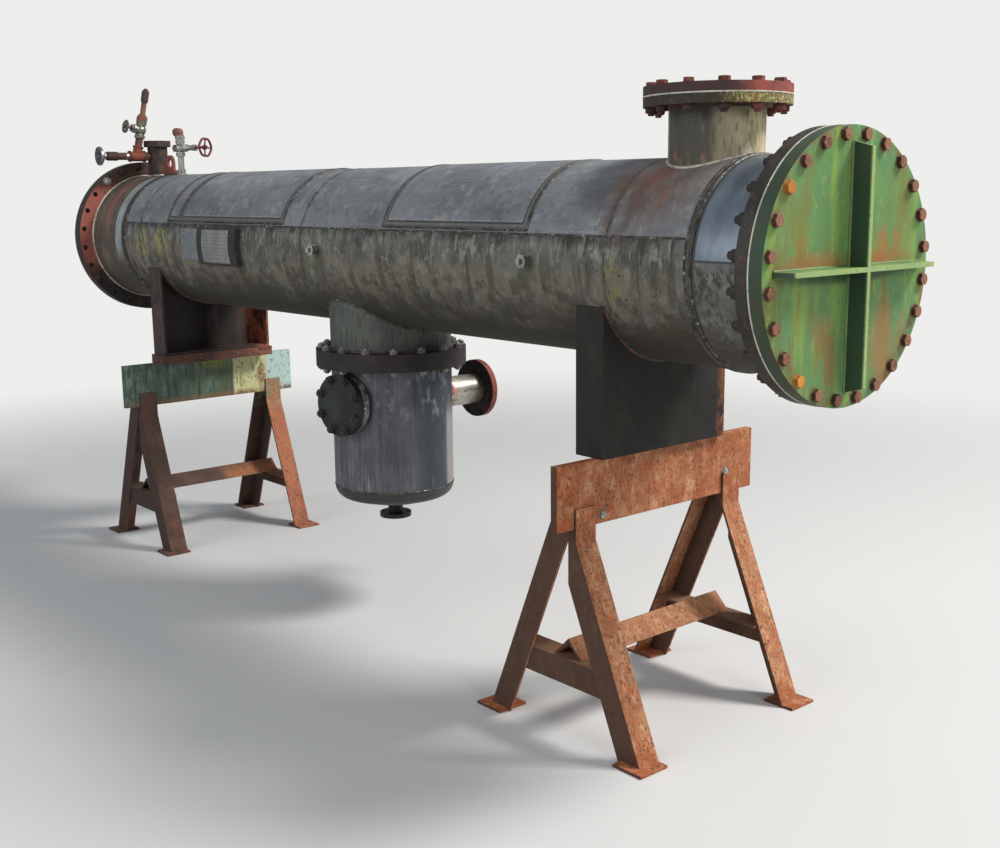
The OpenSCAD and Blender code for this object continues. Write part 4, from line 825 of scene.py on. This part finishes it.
# Finishes of the fasteners and welds
# Forged heads rusted brown, lighter on the faces turned to +X, their flats and washers darkened as painted
# shade
boltBrown = finish("forgedBoltRustBrown", "#835a47", "#664332", [
    coat("#a8703f", 0.6, ("noise", 120, 0.5, 0.62, 4)),
    coat("#2e201b", 0.88, ("band", "faceX", 0.7, 0.3))])
# Two heads gone to fresh ochre rust, the brightest spots of the cover, their flats darkened as painted
# shade
boltOrange = finish("forgedBoltRustOchre", "#c9862e", "#a86a2a", [
    coat("#7a4a28", 0.6, ("band", "faceX", 0.7, 0.3))])
# Nuts that oil has kept dark and a little glossy
boltDark = finish("forgedNutOiledDark", "#2f2723", "#231e1c", [
    coat("#4c372c", 0.6, ("noise", 120, 0.52, 0.62, 4))], rough=0.6)
# Heads in the red of the blind, dark on their shaded flats
boltRed = finish("forgedBoltRustRed", "#74392e", "#5f3027", [
    coat("#3a2623", 0.85, ("band", "faceX", 0, -0.5)),
    coat("#a8654a", 0.5, ("noise", 110, 0.5, 0.62, 4))])
# Nuts under faded primer, chalky pink, black on the shaded side
nutPink = finish("forgedNutPrimedPink", "#80463d", "#653933", [
    coat("#a5695e", 0.5, ("noise", 100, 0.52, 0.64, 5)),
    coat("#2f2422", 0.9, ("band", "y", -0.06, -0.13))])
# Machined nuts: tarnished flats, their upward faces made bright as a painted highlight
nutBright = finish("machinedNutTarnished", "#8b8984", "#63615d", [
    coat("#3b3533", 0.7, ("noise", 110, 0.48, 0.62, 5), rough=0.7, metal=0),
    coat("#c9c8c2", 0.9, ("band", "faceZ", 0.4, 0.8), ("noise", 90, 0.28, 0.46, 4), rough=0.34,
        metal=0.6)],
    rough=0.4, metal=0.5)
# Plated bolts: bright and smooth, dirty in patches
boltSilver = finish("platedBoltSilver", "#b9bbb9", "#9a9c9a", [
    coat("#55504a", 0.6, ("noise", 120, 0.52, 0.64, 5), rough=0.7, metal=0)],
    rough=0.28, metal=0.85)
# Painted bolts: satin black, brown where the paint is gone
boltBlack = finish("paintedBoltBlack", "#2c2e2e", "#212323", [
    coat("#4a332c", 0.5, ("noise", 110, 0.54, 0.62, 4))], rough=0.5)
# Weld metal: dark heat tint with bright ripples
beadSteel = finish("depositedStainlessWeld", "#5c5a56", "#474541", [
    coat("#2c2b29", 0.8, ("noise", 40, 0.44, 0.58, 5), rough=0.7),
    coat("#b5b3ac", 0.6, ("noise", 60, 0.6, 0.67, 4), rough=0.35)],
    rough=0.5, metal=0.45, grain=(900, 0.05))
# Brushed weld metal: pale, a little dirt between the ripples
beadPale = finish("depositedWeldPale", "#c3c1b4", "#9f9b8d", [
    coat("#5c5449", 0.6, ("noise", 60, 0.5, 0.64, 4))], rough=0.5, metal=0.3)
# Weld metal rusted like its saddle, dull
beadDark = finish("depositedWeldRustDark", "#4a3a32", "#382c28", [
    coat("#7a4a34", 0.6, ("noise", 60, 0.48, 0.62, 5))])
# Weld metal under the cover's green, softened by the paint
beadGreen = finish("depositedWeldPaintedGreen", "#5b7f46", "#4a6b40", [
    coat("#7a5a2e", 0.7, ("noise", 60, 0.5, 0.62, 5))], rough=0.55)


def ringX(x, r, start=0, stop=360):
    # round the shell's axis, angles from the top towards +Y
    turns = [math.radians(start + (stop - start) * i / 120) for i in range(121)]
    return [(x, r * math.sin(t), axisZ + r * math.cos(t)) for t in turns]


def ringZ(x, z, r):
    turns = [math.radians(3 * i) for i in range(120)]
    return [(x + r * math.cos(t), r * math.sin(t), z) for t in turns]


def boltRing(count, r):
    turns = [math.radians((i + 0.5) * 360 / count) for i in range(count)]
    return [(r * math.cos(t), r * math.sin(t)) for t in turns]


# How many bolts a circle has, and its radius
circles = dict(cover=(24, 0.323), top=(12, 0.173), joint=(16, 0.252), front=(8, 0.09525))

# Cover: 24 hexagon bolts, two of them gone ochre, with nuts and stud ends behind the flange
coverBolts = dict(flats=0.0285, head=0.012, washer=0.0012, stud=0.019, out=-0.004, shank=0.004, vary=0.03,
    seed=3)
coverNuts = dict(flats=0.031, head=0.0165, washer=0.003, stud=0.02, out=0.013, shank=0.002, vary=0.03,
    seed=4)
around = [(0, y, axisZ - z) for z, y in boltRing(*circles["cover"])]
ochre = (15, 21)
frontRows = [((coverFace, p[1], p[2]), (1, 0, 0)) for p in around]
backRows = [((nearBack, p[1], p[2]), (-1, 0, 0)) for p in around]
brownRows = [row for i, row in enumerate(frontRows) if i not in ochre]
grow("coverBolts", brownRows, fastener, coverBolts, boltBrown)
grow("coverBoltsOchre", [frontRows[i] for i in ochre], fastener, dict(coverBolts, seed=9), boltOrange)
grow("coverNuts", backRows, fastener, coverNuts, boltDark)

# Far flange: three bolts only, their ends flush with the cover's back
farBolts = dict(flats=0.03, head=0.013, washer=0.003, stud=0.0195, out=0.002,
    shank=farFront - farBack - 0.0005, vary=0.0, seed=5)
farRows = [((farFront, around[i][1], around[i][2]), (1, 0, 0)) for i in (12, 13, 14)]
grow("farBolts", farRows[:2], fastener, farBolts, boltDark)
grow("farBoltBright", farRows[2:], fastener, farBolts, boltSilver)

# Top nozzle: 12 bolts down through the blind, nuts beneath
topBolts = dict(flats=0.0275, head=0.0105, washer=0.0015, stud=0.018, out=-0.004, shank=0.004, vary=0.03,
    seed=12)
topNuts = dict(flats=0.0275, head=0.0135, washer=0.0015, stud=0.018, out=0.005, shank=0.002, vary=0.03,
    seed=13)
topRing = [(topX + a, b) for a, b in boltRing(*circles["top"])]
grow("topBolts", [((a, b, topHigh[2]), (0, 0, 1)) for a, b in topRing], fastener, topBolts, boltRed)
grow("topNuts", [((a, b, topUnder), (0, 0, -1)) for a, b in topRing], fastener, topNuts, nutPink)

# Hotwell joint: 16 studs with a small bright nut above and below
jointNuts = dict(flats=0.0255, head=0.0125, washer=0.0015, stud=0.015, out=0.003, shank=0.002, vary=0.04,
    seed=21)
jointRing = [(drumX + a, b) for a, b in boltRing(*circles["joint"])]
jointRows = [((a, b, jointHigh), (0, 0, 1)) for a, b in jointRing]
jointRows += [((a, b, jointLow), (0, 0, -1)) for a, b in jointRing]
grow("hotwellNuts", jointRows, fastener, jointNuts, nutBright)

# Front nozzle: 8 painted bolts on the blind and their nuts behind its flange
frontNozzle = dict(turn=8, z=0.790, pipeR=0.057, blindOut=0.263, neckOut=0.217)
frontAim = math.radians(frontNozzle["turn"])
outward = (math.sin(frontAim), -math.cos(frontAim), 0)
inward = (-outward[0], -outward[1], 0)
frontZ = frontNozzle["z"]
sideBolts = dict(flats=0.027, head=0.011, washer=0.0025, stud=0.016, out=0.006, shank=0.002, vary=0.03,
    seed=31)
frontRing = [(math.cos(frontAim) * a, math.sin(frontAim) * a, b) for a, b in boltRing(*circles["front"])]
blindRows = []
neckRows = []
for a, b, c in frontRing:
    for rows, out, facing in ((blindRows, frontNozzle["blindOut"], outward),
                              (neckRows, frontNozzle["neckOut"], inward)):
        rows.append(((drumX + outward[0] * out + a, outward[1] * out + b, frontZ + c), facing))
grow("frontBlindBolts", blindRows, fastener, sideBolts, boltBlack)
grow("frontBlindNuts", neckRows, fastener, dict(sideBolts, seed=33), boltDark)

# Near trestle: two small plated bolts through the beam, each beside the head of a leg
beamBolts = dict(flats=0.019, head=0.0075, washer=0.002, stud=0.01, out=0.002, shank=0.002, vary=0.0,
    seed=41)
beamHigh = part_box("near_trestle_beam")[1]
beamRows = [((beamHigh[0], -0.242, beamHigh[2] - 0.158), (1, 0, 0)),
            ((beamHigh[0], 0.284, beamHigh[2] - 0.116), (1, 0, 0))]
grow("beamBolts", beamRows, fastener, beamBolts, boltSilver)
print("fasteners grown")

# Handwheels: red on the vent valve, grey on the gauge valve; each turns with its joint
ventWheelPlace = dict(turn=20, out=0.147, z=1.728)
ventAim = math.radians(ventWheelPlace["turn"])
ventFacing = (math.cos(ventAim), math.sin(ventAim), 0)
ventOut = ventWheelPlace["out"]
ventWheelAt = (riserX + ventFacing[0] * ventOut, ventFacing[1] * ventOut, ventWheelPlace["z"])
# Red paint on a cast wheel: satin, worn dark where hands turn it
redPaint = finish("castWheelRedPaint", "#7b3236", "#5e272b", [
    coat("#43211f", 0.7, ("noise", 110, 0.52, 0.64, 5))], rough=0.5)
# Grey paint on a cast wheel: satin, rust coming through
greyPaint = finish("castWheelGreyPaint", "#5b5854", "#494643", rough=0.6)
ventWheel = dict(radius=0.043, rim=0.0052, lobes=6, lobeDepth=0.001, spokes=4, dish=0.004, hub=0.01,
    stem=0.005, stemLength=0.069, seed=1)
grow("ventHandwheel", [(ventWheelAt, ventFacing)], wheel, ventWheel, redPaint, "vent_wheel",
    ("vent_handwheel",))
# The riser leans from the tee; the gauge valve sits up along it and its wheel stands out
gaugeRiser = dict(lean=12, teeY=-0.102, teeZ=1.697, valveUp=0.39 * 0.308, wheelOut=0.072)
lean = math.radians(gaugeRiser["lean"])
gaugeFacing = (0, -math.cos(lean), math.sin(lean))
gaugeCentre = (ventX, gaugeRiser["teeY"] + math.sin(lean) * gaugeRiser["valveUp"],
               gaugeRiser["teeZ"] + math.cos(lean) * gaugeRiser["valveUp"])
gaugeWheelAt = tuple(c + gaugeRiser["wheelOut"] * f for c, f in zip(gaugeCentre, gaugeFacing))
gaugeWheel = dict(ventWheel, radius=0.030, lobes=5, hub=0.0095, stemLength=0.040, seed=2)
grow("gaugeHandwheel", [(gaugeWheelAt, gaugeFacing)], wheel, gaugeWheel, greyPaint,
    "gauge_wheel", ("gauge_handwheel",))
print("handwheels grown")


def saddleCurve(x, r, side):
    # where an upright pipe of radius r meets the shell
    turns = [math.radians(3 * i) for i in range(120)]
    return [(x + r * math.cos(t), r * math.sin(t),
             axisZ + side * math.sqrt(shellR ** 2 - (r * math.sin(t)) ** 2)) for t in turns]


def drumCurve(turn, z, r):
    # where a level pipe of radius r meets the drum; turn is from +X round to +Y
    rows = []
    for i in range(90):
        t = math.radians(4 * i)
        side = r * math.cos(t)
        far = math.sqrt(drumR ** 2 - side ** 2)
        rows.append((drumX + far * math.cos(turn) - side * math.sin(turn),
                     far * math.sin(turn) + side * math.cos(turn), z + r * math.sin(t)))
    return rows


# Low butt beads: a circle of this radius with its centre sunk stands 1 mm proud and about 7 wide
buttWeld = dict(radius=0.0066, step=0.003, pitch=0.008, ripple=0.045, wander=0.09, seed=41)
sunk = shellR - 0.0056
seamTurn = math.degrees(seamArc / shellR)
seamFrom, seamLength = 1.640, 3.22
seamLine = [(seamFrom - seamLength * i / 200, -sunk * math.sin(math.radians(seamTurn)),
             axisZ + sunk * math.cos(math.radians(seamTurn))) for i in range(201)]
seamRings = [(ringX(place, sunk), False) for place in roundSeams]
grow("shellSeamWelds", [(seamLine, False)] + seamRings, weld, buttWeld, beadSteel)

# Lap fillets round the three curved plates
padWeld = dict(radius=0.0042, step=0.003, pitch=0.007, ripple=0.07, wander=0.14, seed=42)
lap = dict(gap=0.0005, endTurn=72.3, sideTurn=72.25, step=0.03)
lapR = shellR + lap["gap"]
padPaths = []
for low, high in lapPlates["ends"]:
    for place in (low - lap["gap"], high + lap["gap"]):
        padPaths.append((ringX(place, lapR, -lap["endTurn"], lap["endTurn"]), False))
    for side in (-1, 1):
        edge = math.radians(lap["sideTurn"]) * side
        count = max(2, int((high - low) / lap["step"]))
        padPaths.append(([(low + (high - low) * i / count, lapR * math.sin(edge),
                           axisZ + lapR * math.cos(edge)) for i in range(count + 1)], False))
grow("padWelds", padPaths, weld, padWeld, beadSteel)

# Fillets at the tube sheets and flanges
ringWeld = dict(radius=0.0055, step=0.004, pitch=0.01, ripple=0.05, wander=0.1, seed=43)
filletsAt = (1.6645, 1.6475, nearBack - 0.001, -1.5885, -1.6165)
ringPaths = [(ringX(place, shellR), False) for place in filletsAt]
grow("nearRingWelds", ringPaths, weld, ringWeld, beadSteel)
grow("farRingWelds", [(ringX(farFront + 0.001, shellR), False)], weld, dict(ringWeld, seed=44), beadPale)

# Nozzle fillets at the shell, and necks to their flanges
neckR = halfOf("top_nozzle_neck")
wellR = halfOf("hotwell_neck")
nozzleWeld = dict(radius=0.0052, step=0.004, pitch=0.011, ripple=0.06, wander=0.14, seed=45)
paths = [(saddleCurve(topX, neckR, 1), True),
         (saddleCurve(ventX, 0.0445, 1), True), (saddleCurve(riserX, 0.018, 1), True)]
grow("nozzleWelds", paths, weld, nozzleWeld, beadPale)
headSeam = 0.4735  # where the dished head is welded to the drum
paths = [(saddleCurve(drumX, wellR, -1), True), (ringZ(drumX, jointHigh, wellR), True),
         (ringZ(drumX, jointLow, drumR), True),
         (ringZ(drumX, headSeam, drumR - 0.0035), True),
         (drumCurve(math.radians(90), 0.777, frontNozzle["pipeR"]), True),
         (drumCurve(math.radians(frontNozzle["turn"] - 90), frontZ, frontNozzle["pipeR"]), True)]
grow("hotwellWelds", paths, weld, dict(nozzleWeld, radius=0.0055, seed=46), beadSteel)

# Fillets beside the cover's ribs, painted over
ribWeld = dict(radius=0.005, step=0.004, pitch=0.01, ripple=0.06, wander=0.14, seed=47)
ribSide = 0.0062
ribEnd = 0.303
paths = []
for side in (-ribSide, ribSide):
    for low, high in ((-ribEnd, -ribSide), (ribSide, ribEnd)):
        span = [low + (high - low) * i / 40 for i in range(41)]
        paths.append(([(coverFace, p, axisZ + side) for p in span], False))
        paths.append(([(coverFace, side, axisZ + p) for p in span], False))
grow("ribWelds", paths, weld, ribWeld, beadGreen)

# Saddle and lug fillets
darkPaths = [(ringZ(topX, topUnder, neckR), True)]
for name in ("near_saddle", "far_saddle"):
    low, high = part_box(name)
    spread = math.degrees(math.asin(min(0.98, (high[1] - low[1]) / 2 / shellR))) - 1
    for place in (low[0], high[0]):
        darkPaths.append((ringX(place, shellR - 0.001, 180 - spread, 180 + spread), False))
lugX = middleOf("lifting_lug")
for side in (-0.007, 0.007):
    darkPaths.append(([(lugX - 0.05 + 0.01 * i, side, axisZ + shellR) for i in range(11)], False))
grow("saddleWelds", darkPaths, weld, dict(nozzleWeld, radius=0.0055, seed=48), beadDark)
print("welds grown")


def meshPiece(name, rows, faces, look):
    # a small piece with flat faces, fixed to the root
    mesh = bpy.data.meshes.new(name)
    mesh.from_pydata(rows, [], faces)
    mesh.materials.append(look)
    mesh.polygons.foreach_set("use_smooth", [False] * len(faces))
    made = bpy.data.objects.new(name, mesh)
    scene.collection.objects.link(made)
    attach(made, "root")
    return made


# Dial face: dark enamel disc with even ticks and a pointer, set in the case's recess
dial = dict(z=1.697, recess=0.0031, radius=0.0368, ticks=25, sweep=270, tick=0.0012)
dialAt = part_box("dial_gauge")[0][1] + dial["recess"]
dialZ = dial["z"]
# Printed face: smooth dark enamel, so that the pale strokes stand out
dialDark = finish("printedDialFaceDark", "#2b2f33", "#24272b", [], rough=0.4, metal=0.0, grain=(900, 0.02))
dialPale = finish("printedDialMarksPale", "#c9cbc8", "#b5b7b4", [], rough=0.5, metal=0.0, grain=(900, 0.02))
rows = [(ventX, dialAt - 0.0006, dialZ)]
rows += [(ventX + dial["radius"] * math.cos(math.radians(6 * i)), dialAt - 0.0006,
          dialZ + dial["radius"] * math.sin(math.radians(6 * i))) for i in range(60)]
meshPiece("dialFace", rows, [(0, 1 + i, 1 + (i + 1) % 60) for i in range(60)], dialDark)
rows = []
faces = []
marks = [(225 - dial["sweep"] * i / (dial["ticks"] - 1), 0.027 if i % 4 else 0.024, 0.0325)
         for i in range(dial["ticks"])]
for angle, low, high in marks + [(200, -0.008, 0.024)]:
    t = math.radians(angle)
    first = len(rows)
    for r, s in ((low, -1), (high, -1), (high, 1), (low, 1)):
        rows.append((ventX + r * math.cos(t) - s * dial["tick"] / 2 * math.sin(t), dialAt - 0.0011,
                     dialZ + r * math.sin(t) + s * dial["tick"] / 2 * math.cos(t)))
    faces.append((first, first + 1, first + 2, first + 3))
meshPiece("dialMarks", rows, faces, dialPale)

# Edges of the joint sheets, pale lines between the cover or the blind and its flange
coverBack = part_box("near_cover")[0][0]
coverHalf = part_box("near_cover")[1][1]
sheets = (
    ("jointSheetEdge", 0, (nearFront, coverBack), coverHalf + 0.0012, (0, 0, axisZ)),
    ("topSheetEdge", 2, (topOver, topLow[2]), topHigh[1] + 0.0010, (topX, 0, 0)),
)
for name, axis, (low, high), radius, centre in sheets:
    rows = []
    faces = []
    for i in range(192):
        t = 2 * math.pi * i / 192
        for along in (low - 0.0003, high + 0.0003):
            for r in (radius - 0.02, radius):
                row = [r * math.cos(t), r * math.sin(t)]
                row.insert(axis, along)
                rows.append([a + b for a, b in zip(row, centre)])
        a = 4 * i
        b = 4 * ((i + 1) % 192)
        faces += [(a + 1, b + 1, b + 3, a + 3), (a, a + 2, b + 2, b),
                  (a, b, b + 1, a + 1), (a + 2, a + 3, b + 3, b + 2)]
    meshPiece(name, rows, faces, gasketWhite)

# Rivets on the two side plates
rivets = dict(flats=0.0075, head=0.0016, washer=0.0006, stud=0.004, out=0.0002, shank=0.001, vary=0.05,
    seed=51)
rivetRows = []
for name in ("data_plate", "blank_plate"):
    low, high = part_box(name)
    r = -low[1]
    for x in (low[0] + 0.009, high[0] - 0.009):
        for z in (low[2] + 0.009, high[2] - 0.009):
            t = math.asin((z - axisZ) / r)
            rivetRows.append(((x, -r * math.cos(t), z), (0, -math.cos(t), math.sin(t))))
grow("plateRivets", rivetRows, fastener, rivets, boltSilver)
print("dial and rivets made")

# Camera at the photograph's angle
camera = dict(place=(3.691, -2.629, 1.531), turn=49.489, dip=10.677, roll=-0.63, lens=44.79)
turn, dip, roll = (math.radians(camera[key]) for key in ("turn", "dip", "roll"))
ahead = Vector((-math.sin(turn) * math.cos(dip), math.cos(turn) * math.cos(dip), -math.sin(dip)))
right = Vector((math.cos(turn), math.sin(turn), 0))
up = right.cross(ahead)
across = math.cos(roll) * right + math.sin(roll) * up
upward = math.cos(roll) * up - math.sin(roll) * right
lens = bpy.data.cameras.new("camera")
lens.sensor_width = 36
lens.sensor_fit = "HORIZONTAL"
lens.lens = camera["lens"]
eye = bpy.data.objects.new("camera", lens)
scene.collection.objects.link(eye)
aim = Matrix((across, upward, -ahead)).transposed().to_4x4()
eye.matrix_world = Matrix.Translation(camera["place"]) @ aim
scene.camera = eye
scene.view_settings.view_transform = "Standard"

# Pale floor that fades into the backdrop away from the part
stage = dict(backdrop="#eeeeec", floor="#c3c4c5", fill="#e2e7ec", fillPower=0.5, fadeFrom=2.6, fadeTo=6.5)
backdropColour = linear(stage["backdrop"])
floorMesh = bpy.data.meshes.new("floor")
floorMesh.from_pydata([(-30, -30, 0), (30, -30, 0), (30, 30, 0), (-30, 30, 0)], [], [(0, 1, 2, 3)])
floor = bpy.data.objects.new("floor", floorMesh)
scene.collection.objects.link(floor)
floorLook = bpy.data.materials.new("studioFloorMatte")
floorLook.use_nodes = True
tree = floorLook.node_tree
tree.nodes.clear()
coords = add(tree, "ShaderNodeTexCoord").outputs["Object"]
away = add(tree, "ShaderNodeVectorMath", {0: coords}, operation="LENGTH")
fade = add(tree, "ShaderNodeMapRange", {"Value": away.outputs["Value"], "From Min": stage["fadeFrom"],
    "From Max": stage["fadeTo"]}, interpolation_type="SMOOTHSTEP")
rays = add(tree, "ShaderNodeLightPath")
gone = add(tree, "ShaderNodeMath", {0: fade, 1: rays.outputs["Is Camera Ray"]}, operation="MULTIPLY")
matte = add(tree, "ShaderNodeBsdfDiffuse", {"Color": linear(stage["floor"])})
glow = add(tree, "ShaderNodeEmission", {"Color": backdropColour, "Strength": 1.0})
both = add(tree, "ShaderNodeMixShader", {0: gone, 1: matte, 2: glow})
add(tree, "ShaderNodeOutputMaterial", {0: both})
floorMesh.materials.append(floorLook)

world = bpy.data.worlds.new("studio")
scene.world = world
world.use_nodes = True
tree = world.node_tree
tree.nodes.clear()
rays = add(tree, "ShaderNodeLightPath")
seen = add(tree, "ShaderNodeMath", {0: rays.outputs["Is Camera Ray"],
    1: rays.outputs["Is Transmission Ray"]}, operation="MAXIMUM")
fill = add(tree, "ShaderNodeBackground", {"Color": linear(stage["fill"]), "Strength": stage["fillPower"]})
backdrop = add(tree, "ShaderNodeBackground", {"Color": backdropColour, "Strength": 1.0})
both = add(tree, "ShaderNodeMixShader", {0: seen, 1: fill, 2: backdrop})
add(tree, "ShaderNodeOutputWorld", {0: both})


def softbox(name, place, aim, size, power, colour="#ffffff"):
    data = bpy.data.lights.new(name, "AREA")
    data.shape = "RECTANGLE"
    data.size = size[0]
    data.size_y = size[1]
    data.energy = power
    data.color = linear(colour)[:3]
    lamp = bpy.data.objects.new(name, data)
    scene.collection.objects.link(lamp)
    lamp.location = place
    lamp.rotation_euler = (Vector(aim) - Vector(place)).to_track_quat("-Z", "Y").to_euler()


# Key from the cover's side and above, a wide weaker fill on the side the camera sees
softbox("keyLight", (4.6, 4.0, 7.2), (0, 0, 1.0), (2.2, 2.2), 860, "#fffaf3")
softbox("coverLight", (7.5, -1.0, 3.4), (1.6, 0, 1.0), (2.4, 2.4), 120, "#fffaf2")
softbox("sideLight", (-0.5, -6.5, 3.6), (0, 0, 1.0), (5.5, 2.5), 150)
